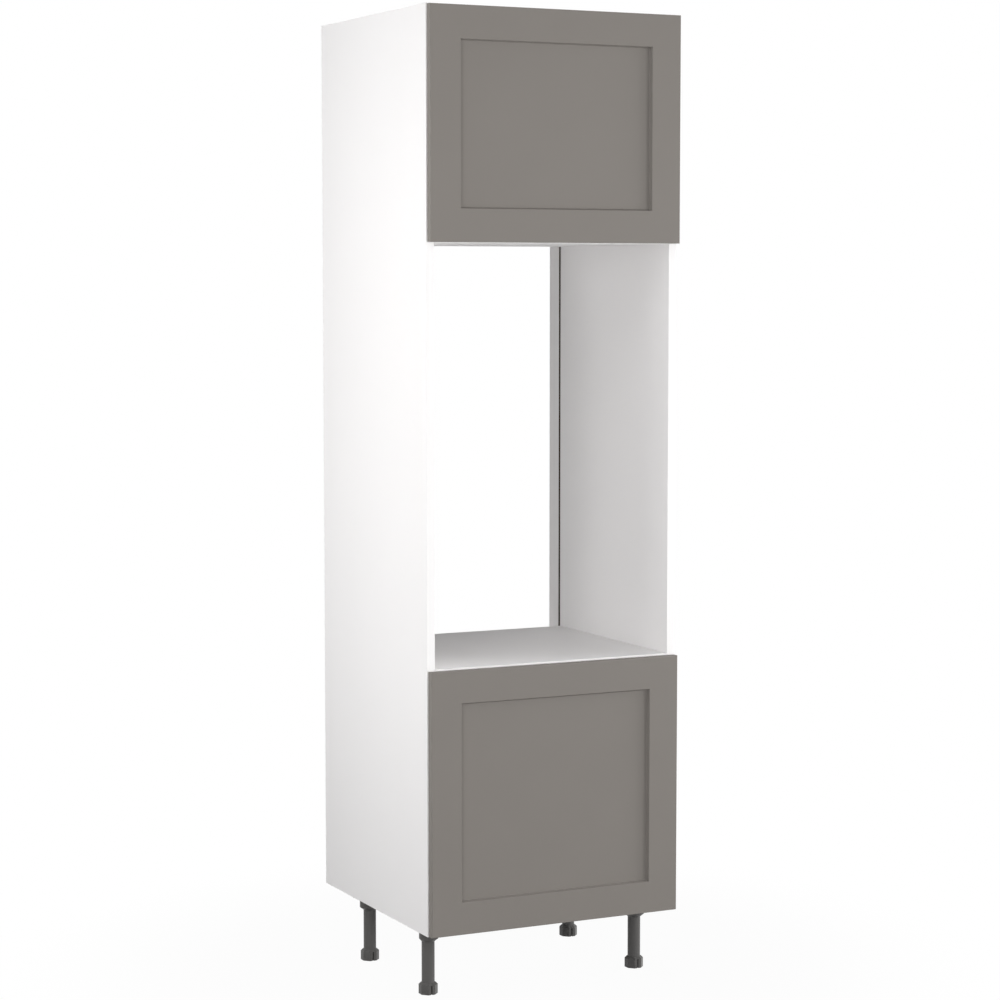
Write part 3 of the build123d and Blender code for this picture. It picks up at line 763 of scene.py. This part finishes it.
def door_section(thickness):
    """(inset from the outline, depth behind the front), from the back face round to the field."""
    back_edge = quarter((EDGE_RADIUS, thickness - EDGE_RADIUS), EDGE_RADIUS, 90)
    front_edge = quarter((EDGE_RADIUS, EDGE_RADIUS), EDGE_RADIUS, 180)
    top, bottom = (FRAME_WIDTH, 0), (FRAME_WIDTH + SLOPE_RUN, FIELD_SINK)
    field = (FRAME_WIDTH + 5 * SLOPE_RUN, FIELD_SINK)
    slope = eased((0, 0), top, bottom, ARRIS_RADIUS) + eased(top, bottom, field, HOLLOW_RADIUS)
    return back_edge + front_edge + slope


low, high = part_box("upper_door")
print("steps in the section:", len(door_section(high.y - low.y)))

# %% Mill the doors and bore them for the hinges
HINGE_BORE_RADIUS = 17.5 * mm
HINGE_BORE_DEPTH = 12.2 * mm
CUP_FROM_EDGE = 21.5 * mm
HINGE_FROM_END = 90 * mm


def close_rings(name, rings, *finishes):
    """Skins a list of rings of points, one after another, and caps the first and the last."""
    build = bmesh.new()
    loops = [[build.verts.new(point) for point in ring] for ring in rings]
    for one, two in zip(loops, loops[1:]):
        for step in range(len(one)):
            after = (step + 1) % len(one)
            build.faces.new((one[step], one[after], two[after], two[step]))
    build.faces.new(loops[0])
    build.faces.new(loops[-1])
    bmesh.ops.recalc_face_normals(build, faces=build.faces[:])
    return mesh_from(name, build, *finishes)


def door_mesh(name, low, high):
    rings = []
    for inset, depth in door_section(high.y - low.y):
        x0, x1, z0, z1 = low.x + inset, high.x - inset, low.z + inset, high.z - inset
        rings.append([(x, low.y + depth, z) for x, z in ((x0, z0), (x1, z0), (x1, z1), (x0, z1))])
    return close_rings(name, rings, warm_grey_wrap)


hinge_heights = {}
for level in LEVELS:
    node = level + "_door"
    low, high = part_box(node)
    hinge_heights[level] = (low.z + HINGE_FROM_END, high.z - HINGE_FROM_END)
    CUP_X, DOOR_BACK = high.x - CUP_FROM_EDGE, high.y
    leaf = new_object("leaf_of_" + node, door_mesh(node, low, high))
    bores = [(CUP_X, DOOR_BACK, height) for height in hinge_heights[level]]
    cutters = holes(bores, HINGE_BORE_RADIUS, HINGE_BORE_DEPTH, "back", fibreboard_core)
    combine(leaf, "DIFFERENCE", cutters)
    shade_by_angle(leaf)
    hand_over(leaf, node)
    print(leaf.name, [round(part, 4) for part in high - low])

# %% [markdown]
# ## Lathe work
#
# A screw, a bolt, a cam, a peg, a dowel and a leg tube are all round, so each is a short outline
# spun round an axis. Spinning turns some outlines inside out, so the faces are turned out again.


# %% Spin an outline
RECESS_TAPER = 0.7


def turned(name, outline, sides=28):
    """Spins (radius, height) points about Z. An outline that misses the axis closes on itself."""
    build = bmesh.new()
    spokes = [2 * math.pi * step / sides for step in range(sides)]
    loops = []
    for radius, height in outline:
        around = spokes if radius else [0]
        loops.append([
            build.verts.new((radius * math.cos(a), radius * math.sin(a), height)) for a in around
        ])
    pairs = list(zip(loops, loops[1:]))
    if outline[0][0]:
        pairs.append((loops[-1], loops[0]))
    for one, two in pairs:
        for step in range(sides):
            after = (step + 1) % sides
            corners = [one[step % len(one)], one[after % len(one)],
                       two[after % len(two)], two[step % len(two)]]
            build.faces.new(dict.fromkeys(corners))
    bmesh.ops.recalc_face_normals(build, faces=build.faces[:])
    return mesh_from(name, build)


def cross_recess(mesh, top, length, width, depth):
    """Sinks a cross for the driver, narrower at its bottom, into the top of a shape."""
    rings = []
    for scale, height in ((RECESS_TAPER, top - depth), (1.0, top), (1.0, top + depth)):
        arm, half = scale * length / 2, scale * width / 2
        quarter_cross = [(arm, -half), (arm, half), (half, half)]
        outline = []
        for turn in range(4):
            outline += quarter_cross
            quarter_cross = [(-y, x) for x, y in quarter_cross]
        rings.append([(x, y, height) for x, y in outline])
    piece = new_object("blank", mesh)
    combine(piece, "DIFFERENCE", new_object("cross", close_rings("cross", rings)))
    crossed = piece.data
    bpy.data.objects.remove(piece)
    return smooth_mesh(crossed)


# %% [markdown]
# ## Screws
#
# Two kinds hold the cabinet together. Flat-head screws pull the backs on to the decks and hold the
# hinge plates. Pan-head screws hold the hinge cups and the leg sockets, and short ones clamp the
# hinge arms. All have a cross recess, and their threads are real ridges.

# %% Shape a screw
# head radius, head height, shank radius, length
BACK_SCREW = (3.5 * mm, 2.4 * mm, 1.75 * mm, 30 * mm)
PLATE_SCREW = (3.8 * mm, 2.0 * mm, 2.0 * mm, 15 * mm)
ARM_SCREW = (3.0 * mm, 1.2 * mm, 2.0 * mm, 9 * mm)
CUP_SCREW = (3.5 * mm, 1.2 * mm, 1.75 * mm, 12 * mm)
SOCKET_SCREW = (3.5 * mm, 2.0 * mm, 1.9 * mm, 14 * mm)
RECESS_WIDTH = 0.9 * mm
SCREW_PITCH = 1.3 * mm
THREAD_CORE = 0.78


def threads(radius, start, end, pitch):
    """The ridges of a thread from a start height down to an end height."""
    ridges, height = [], start
    while height - pitch > end:
        ridges += [(radius, height), (THREAD_CORE * radius, height - 0.5 * pitch)]
        height -= pitch
    return ridges


def screw_tip(radius, start, length):
    """A thread from a start height down, and the point that ends it."""
    ridges = threads(radius, start, -length + 3 * radius, SCREW_PITCH)
    return [*ridges, (0.3 * radius, -length + 0.3 * mm), (0, -length)]


def flat_screw(head, head_height, radius, length):
    """A screw whose countersunk head is level with its point."""
    rim = [(0, 0), (head - 0.15 * mm, 0), (head, -0.12 * mm), (head - 0.1 * mm, -0.3 * mm)]
    shank = [(radius, -head_height), (radius, -head_height - 1 * mm)]
    outline = rim + shank + screw_tip(radius, -head_height - 1.2 * mm, length)
    return cross_recess(turned("flat screw", outline), 0, head, RECESS_WIDTH, 1.2 * mm)


def pan_screw(head, head_height, radius, length):
    """A screw whose domed head stands on its point."""
    arcs = [math.radians(angle) for angle in (80, 60, 40, 20, 0)]
    dome = [(head * math.cos(a) ** 0.5, head_height * (0.35 + 0.65 * math.sin(a))) for a in arcs]
    tip = screw_tip(radius, -0.8 * mm, length)
    outline = [(0, head_height), *dome, (head, 0), (radius, 0), *tip]
    return cross_recess(turned("pan screw", outline), head_height, head, RECESS_WIDTH, 0.8 * mm)


def drive(name, node, points, shape, facing, finish):
    """Puts a screw on every point, in the place of a node."""
    hand_over(copies(name, points, shape, facing, finish), node)
    print(name, len(points))


print("a back screw is", BACK_SCREW[-1], "m long")

# %% Drive the screws
CUP_SCREW_OFFSET = 9.5 * mm
CUP_SCREW_HALF_SPACING = 22.5 * mm
LIP = 0.8 * mm
PLATE_THICKNESS = 2.5 * mm
PLATE_SETBACK = 37 * mm
PLATE_HALF_SPACING = 16 * mm
ARM_DISTANCE = 21.5 * mm
ARM_SCREW_SETBACKS = (30 * mm, 54 * mm)
SOCKET_FLANGE = 3 * mm
LUG_ACROSS = 14 * mm
LUG_ALONG = 24 * mm
BACK_SCREW_COLUMNS = (-200 * mm, 0, 200 * mm)
LEGS = [row + "_" + column for row in ("front", "rear") for column in ("left", "right")]
leg_axes = {leg: sum(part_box(leg + "_leg_tube"), Vector()) / 2 for leg in LEGS}

back_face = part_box("lower_back_panel")[1].y
points = [(x, back_face, deck_middles[node]) for node in DECKS for x in BACK_SCREW_COLUMNS]
drive("back_screws", "back_panel_screws", points, flat_screw(*BACK_SCREW), "back", zinc_plate)

heights = [height for level in LEVELS for height in hinge_heights[level]]
points = [
    (INNER - PLATE_THICKNESS, FRONT + PLATE_SETBACK, height + step * PLATE_HALF_SPACING)
    for height in heights for step in (-1, 1)
]
plate_screw = flat_screw(*PLATE_SCREW)
drive("plate_screws", "hinge_plate_screws", points, plate_screw, "left", bright_nickel)

points = [
    (INNER - ARM_DISTANCE, FRONT + setback, height)
    for height in heights for setback in ARM_SCREW_SETBACKS
]
drive("arm_screws", "hinge_arm_screws", points, pan_screw(*ARM_SCREW), "left", bright_nickel)

for level in LEVELS:
    points = [
        (CUP_X - CUP_SCREW_OFFSET, DOOR_BACK + LIP, height + step * CUP_SCREW_HALF_SPACING)
        for height in hinge_heights[level] for step in (-1, 1)
    ]
    cup_screw = pan_screw(*CUP_SCREW)
    drive("cup_screws_" + level, level + "_cup_screws", points, cup_screw, "back", bright_nickel)

carcass_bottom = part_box("bottom_panel")[0].z
points = [
    (axis.x + across * LUG_ACROSS, axis.y + along * LUG_ALONG, carcass_bottom - SOCKET_FLANGE)
    for axis in leg_axes.values() for across in (-1, 1) for along in (-1, 1)
]
drive("leg_screws", "socket_screws", points, pan_screw(*SOCKET_SCREW), "down", zinc_plate)

# %% [markdown]
# ## Cams, bolts and dowels
#
# A deck hangs between the sides on cams: a bolt screwed into the side reaches into the deck, and a
# turn of the cam draws it tight. Dowels with glue flutes take the load beside them.

# %% Make cams, bolts and dowels
CAM_HEIGHT = 12.3 * mm
CAM_CROSS = (9 * mm, 1.6 * mm, 2 * mm)
BOLT_REACH = 34 * mm
BOLT_THREAD = 11 * mm
BOLT_PITCH = 1.8 * mm
DOWEL_SETBACK = 101 * mm
DOWEL_RADIUS = 4 * mm
DOWEL_IN_DECK = 22 * mm
DOWEL_IN_SIDE = 11 * mm
DOWEL_SIDES = 32
FLUTE = 0.93


def join_pieces(name, parts):
    """Several plain pieces with one finish become one."""
    build = bmesh.new()
    for part in parts:
        build.from_mesh(part.data)
    joined = new_object(name, mesh_from(name, build, parts[0].data.materials[0]))
    smooth_mesh(joined.data)
    for part in parts:
        bpy.data.objects.remove(part)
    return joined


def cam():
    rim = 0.4 * mm
    outline = [
        (0, -rim), (CAM_RADIUS - 3 * rim, -rim), (CAM_RADIUS - 2.5 * rim, 0), (CAM_RADIUS - rim, 0),
        (CAM_RADIUS, -rim), (CAM_RADIUS, -CAM_HEIGHT + rim), (CAM_RADIUS - rim, -CAM_HEIGHT),
        (0, -CAM_HEIGHT),
    ]
    return cross_recess(turned("cam", outline, 40), -rim, *CAM_CROSS)


def cam_bolt():
    """Stands on its shoulder: the thread goes down into the side and the head stands up."""
    head, neck, shaft = 3.5 * mm, 2.2 * mm, 3 * mm
    outline = [
        (0, BOLT_REACH), (head - 0.5 * mm, BOLT_REACH), (head, BOLT_REACH - 0.5 * mm),
        (head, BOLT_REACH - 3 * mm), (neck, BOLT_REACH - 3.4 * mm), (neck, BOLT_REACH - 7 * mm),
        (shaft, BOLT_REACH - 9 * mm), (shaft, 0),
        *threads(2.5 * mm, -0.5 * mm, -BOLT_THREAD + 1 * mm, BOLT_PITCH), (0, -BOLT_THREAD),
    ]
    return smooth_mesh(turned("cam bolt", outline))


def dowel():
    """A fluted pin: every other line of points lies a little deeper."""
    chamfer = 1.2 * mm
    outline = [
        (0, DOWEL_IN_DECK), (DOWEL_RADIUS - chamfer, DOWEL_IN_DECK),
        (DOWEL_RADIUS, DOWEL_IN_DECK - chamfer), (DOWEL_RADIUS, chamfer - DOWEL_IN_SIDE),
        (DOWEL_RADIUS - chamfer, -DOWEL_IN_SIDE), (0, -DOWEL_IN_SIDE),
    ]
    mesh = turned("dowel", outline, DOWEL_SIDES)
    for vertex in mesh.vertices:
        line = round(math.atan2(vertex.co.y, vertex.co.x) / (2 * math.pi / DOWEL_SIDES))
        if line % 2 and vertex.co.xy.length > DOWEL_RADIUS - 0.1 * mm:
            vertex.co.xy *= FLUTE
    return smooth_mesh(mesh)


cams = join_pieces("cams", [
    copies("cams_" + facing, points, cam(), facing, die_cast_zinc)
    for facing, points in cam_points.items()
])
hand_over(cams, "cam_discs")

cam_rows = sorted({point[1] for point in cam_points["down"]})
dowel_rows = (FRONT + DOWEL_SETBACK, DECK_REAR - DOWEL_SETBACK)
for name, node, rows, make, finish in (
    ("bolts", "cam_bolts", cam_rows, cam_bolt, zinc_plate),
    ("dowels", "panel_dowels", dowel_rows, dowel, beech),
):
    parts = []
    for side, facing in SIDES:
        points = [(side * INNER, row, middle) for middle in deck_middles.values() for row in rows]
        parts.append(copies(name + "_" + facing, points, make(), facing, finish))
    hand_over(join_pieces(name, parts), node)
print("cams:", sum(len(points) for points in cam_points.values()))

# %% [markdown]
# ## Shelf pegs and door buffers
#
# A peg is a short pin with a flat tongue that the shelf lies on. The tongue has round corners and
# grows out of the pin. The buffers are small domes of clear soft plastic on the back of each door,
# on the side away from the hinges. They keep it from knocking.

# %% Make pegs and buffers
PEG_SEAT = 9.5 * mm
PEG_REACH = 9.0 * mm
TONGUE_THICKNESS = 2.2 * mm
TONGUE_CORNER = 2.5 * mm
BUFFER_RADIUS = 4 * mm


def peg():
    """A peg that faces up: its pin goes down into the side, and its tongue lies against +X."""
    pin_ease = 0.5 * mm
    pin = new_object("pin", turned("pin", [
        (0, PEG_REACH), (PEG_RADIUS - pin_ease, PEG_REACH), (PEG_RADIUS, PEG_REACH - pin_ease),
        (PEG_RADIUS, pin_ease - PEG_SEAT), (PEG_RADIUS - pin_ease, -PEG_SEAT), (0, -PEG_SEAT),
    ]))
    outline = [(-PEG_HALF_WIDTH, 0), (PEG_HALF_WIDTH, 0)]
    corner_y, corner_z = PEG_HALF_WIDTH - TONGUE_CORNER, PEG_REACH - TONGUE_CORNER
    for y, start in ((corner_y, 0), (-corner_y, 90)):
        outline += quarter((y, corner_z), TONGUE_CORNER, start, 4)
    rings = [[(PEG_RADIUS - depth, y, z) for y, z in outline] for depth in (0, TONGUE_THICKNESS)]
    combine(pin, "UNION", new_object("tongue", close_rings("tongue", rings)))
    soften_edges(pin, 0.25 * mm, 50)
    mesh = pin.data
    bpy.data.objects.remove(pin)
    return smooth_mesh(mesh)


def buffer_dot():
    outline = [(0, 1.4), (1.6, 1.33), (2.8, 1.1), (3.6, 0.7), (3.95, 0.3), (4.0, 0), (0, 0)]
    return smooth_mesh(turned("buffer", [(r * mm, h * mm) for r, h in outline], 32), 50.0)


for level in LEVELS:
    pegs = join_pieces("shelf_pegs_" + level, [
        copies("pegs", peg_points(level, side), peg(), facing, bright_nickel)
        for side, facing in SIDES
    ])
    hand_over(pegs, level + "_shelf_pegs")
    low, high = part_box(level + "_door_buffers")
    middle_x = (low.x + high.x) / 2
    points = [(middle_x, low.y, z) for z in (low.z + BUFFER_RADIUS, high.z - BUFFER_RADIUS)]
    dots = copies("buffers_" + level, points, buffer_dot(), "back", clear_dot)
    hand_over(dots, level + "_door_buffers")
    print(pegs.name, "faces:", len(pegs.data.polygons))

# %% [markdown]
# ## Hinges
#
# The arms, plates, cups and links are pressed steel, and the model has their true shape. A press
# leaves no keen edge, so each one is copied, its triangles are joined into clean faces, and every
# sharp edge is softened by a fraction of a millimetre. Such an edge catches a thin bright line.

# %% Soften a copy of a node
PRESSED_ANGLE = 40.0
WELD_DISTANCE = 0.002 * mm
FLAT_ANGLE = 0.5


def add_softened(name, node, ease, finish):
    source = frame["nodes"][node].data
    mesh = bpy.data.meshes.new(name)
    mesh.from_pydata([v.co for v in source.vertices], [], [f.vertices for f in source.polygons])
    build = bmesh.new()
    build.from_mesh(mesh)
    bmesh.ops.remove_doubles(build, verts=build.verts[:], dist=WELD_DISTANCE)
    bmesh.ops.dissolve_limit(
        build, angle_limit=math.radians(FLAT_ANGLE), verts=build.verts[:], edges=build.edges[:]
    )
    piece = new_object(name, mesh_from(name, build, finish))
    soften_edges(piece, ease, PRESSED_ANGLE)
    shade_by_angle(piece, PRESSED_ANGLE)
    hand_over(piece, node)


# %% Soften the hinges
for level in LEVELS:
    for place in ("bottom", "top"):
        for part, ease in (("arm", 0.35), ("plate", 0.30), ("cup", 0.20), ("link", 0.25)):
            node = f"{level}_{place}_hinge_{part}"
            add_softened(f"hinge_{part}_{level}_{place}", node, ease * mm, bright_nickel)
    add_softened("hinge_pins_" + level, level + "_hinge_pins", 0.15 * mm, zinc_plate)

# %% [markdown]
# ## Legs
#
# Each leg is a socket under the bottom panel, a tube pressed into it, and a foot that screws up and
# down inside the tube. The foot's skirt is an octagon with one slot in front, so that it can be
# gripped and turned. It is skinned from rings of equally many points: octagons with round corners
# outside, circles inside.

# %% Make the sockets and tubes
TUBE_RADIUS = 14.25 * mm
TUBE_INNER_RADIUS = 11.25 * mm
NUT_RADIUS = 8.3 * mm
NUT_LENGTH = 26 * mm
TUBE_EASE = 0.6 * mm
SOCKET_EASE = 0.4 * mm


def tube_mesh(axis, bottom, top):
    outline = [
        (NUT_RADIUS, bottom), (TUBE_RADIUS - TUBE_EASE, bottom), (TUBE_RADIUS, bottom + TUBE_EASE),
        (TUBE_RADIUS, top - TUBE_EASE), (TUBE_RADIUS - TUBE_EASE, top), (TUBE_INNER_RADIUS, top),
        (TUBE_INNER_RADIUS, bottom + NUT_LENGTH), (NUT_RADIUS, bottom + NUT_LENGTH),
    ]
    mesh = turned("tube", outline, 56)
    mesh.transform(Matrix.Translation((axis.x, axis.y, 0)))
    mesh.materials.append(dull_black)
    return smooth_mesh(mesh)


for leg, axis in leg_axes.items():
    add_softened("socket_" + leg, leg + "_leg_socket", SOCKET_EASE, dull_black)
    node = leg + "_leg_tube"
    low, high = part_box(node)
    tube = new_object("tube_" + leg, tube_mesh(axis, low.z, high.z))
    hand_over(tube, node)
print("tube length", round(high.z - low.z, 4), "m")

# %% Make the feet
FOOT_FLAT = 19.4 * mm
FOOT_TOP_FLAT = 14.85 * mm
FOOT_WALL = 21 * mm
FOOT_HEIGHT = 25.5 * mm
FOOT_CORNER = 0.9 * mm
FOOT_EASE = 0.7 * mm
WALL_EASE = 0.25 * mm
BORE_RADIUS = 14.35 * mm
FOOT_FLOOR = 4 * mm
STEM_RADIUS = 8.25 * mm
SLOT_HALF_WIDTH = 1.5 * mm
SLOT_DEPTH = 4 * mm
EIGHTH = 360 / 8


def octagon(flat, height):
    """An octagon with rounded corners and a flat in front, at a height."""
    centre = (flat - FOOT_CORNER) / math.cos(math.radians(EIGHTH / 2))
    points = []
    for corner in range(8):
        middle = EIGHTH * (corner + 0.5)
        for step in range(-2, 3):
            turn, spoke = math.radians(middle + EIGHTH / 4 * step), math.radians(middle)
            points.append((
                centre * math.cos(spoke) + FOOT_CORNER * math.cos(turn),
                centre * math.sin(spoke) + FOOT_CORNER * math.sin(turn),
                height,
            ))
    return points


def circle(radius, height):
    """A circle whose points lie behind those of the octagon."""
    spokes = [Vector(point[:2]).normalized() * radius for point in octagon(FOOT_FLAT, 0)]
    return [(spoke.x, spoke.y, height) for spoke in spokes]


def foot_mesh(name, axis, top):
    low_ease = [
        octagon(FOOT_FLAT - FOOT_EASE * (1 - math.sin(a)), FOOT_EASE * (1 - math.cos(a)))
        for a in [math.radians(angle) for angle in (0, 30, 60, 90)]
    ]
    slope = (FOOT_FLAT - FOOT_TOP_FLAT) / (FOOT_HEIGHT - FOOT_WALL)
    rings = low_ease + [
        octagon(FOOT_FLAT, FOOT_WALL - WALL_EASE),
        octagon(FOOT_FLAT - 0.3 * WALL_EASE, FOOT_WALL),
        octagon(FOOT_FLAT - slope * WALL_EASE, FOOT_WALL + WALL_EASE),
        octagon(FOOT_TOP_FLAT + slope * WALL_EASE, FOOT_HEIGHT - WALL_EASE),
        octagon(FOOT_TOP_FLAT, FOOT_HEIGHT),
        circle(BORE_RADIUS, FOOT_HEIGHT),
        circle(BORE_RADIUS, FOOT_FLOOR),
        circle(STEM_RADIUS, FOOT_FLOOR),
        circle(STEM_RADIUS, top - FOOT_EASE),
        circle(STEM_RADIUS - FOOT_EASE, top),
    ]
    mesh = close_rings(name, rings, polished_black)
    mesh.transform(Matrix.Translation((axis.x, axis.y, 0)))
    return mesh


for leg, axis in leg_axes.items():
    node = leg + "_leg_foot"
    foot = new_object("foot_" + leg, foot_mesh(node, axis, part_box(node)[1].z))
    flat_y = axis.y - FOOT_FLAT
    low = (axis.x - SLOT_HALF_WIDTH, flat_y - OVERSHOOT, -OVERSHOOT)
    high = (axis.x + SLOT_HALF_WIDTH, flat_y + SLOT_DEPTH, FOOT_WALL)
    slot = new_object("slot", box_mesh("slot", low, high, 0, polished_black))
    combine(foot, "DIFFERENCE", slot)
    shade_by_angle(foot)
    hand_over(foot, node)
print("a foot is", round(2 * FOOT_FLAT, 4), "m across its flats")

# %% [markdown]
# ## Floor
#
# The floor is as white as the room to the camera and in reflections, with a faint shadow under the
# legs. As a light it is duller, because a white floor would light the undersides of the boards more
# than the photograph shows.

# %% Lay the floor
FLOOR_HALF_SIDE = 30.0
FLOOR_GREY = (0.35, 0.35, 0.35, 1)
SHADOW_SHARE = 0.035
SHADOW_CORE = 0.5
SHADOW_REACH = 1.2

floor_mesh = bpy.data.meshes.new("floor")
side = FLOOR_HALF_SIDE
corners = [(-side, -side, 0), (side, -side, 0), (side, side, 0), (-side, side, 0)]
floor_mesh.from_pydata(corners, [], [(0, 1, 2, 3)])
floor = new_object("floor", floor_mesh)
floor_finish, ground = begin_finish("white floor")
lit = ground.node("ShaderNodeBsdfDiffuse", None, {"Color": FLOOR_GREY})
glow = ground.node("ShaderNodeEmission", None, {"Color": (1, 1, 1, 1)})
place = ground.node("ShaderNodeTexCoord", out="Object")
away = ground.node("ShaderNodeVectorMath", {"operation": "LENGTH"}, {0: place}, out="Value")
near = {
    "Value": away, "From Min": SHADOW_CORE, "From Max": SHADOW_REACH,
    "To Min": SHADOW_SHARE, "To Max": 0.0,
}
shadow = ground.node("ShaderNodeMapRange", {"interpolation_type": "SMOOTHSTEP"}, near)
share = seen_directly(ground) * (1 - shadow)
both = ground.node("ShaderNodeMixShader", None, {0: share, 1: lit, 2: glow})
ground.node("ShaderNodeOutputMaterial", None, {"Surface": both})
floor_mesh.materials.append(floor_finish)
floor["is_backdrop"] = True
print("floor:", 2 * FLOOR_HALF_SIDE, "m wide")

# %% Compare the sizes and finish
visual_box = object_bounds()
for low, high in (cad_box, visual_box):
    print("from", [round(part, 4) for part in low], "to", [round(part, 4) for part in high])
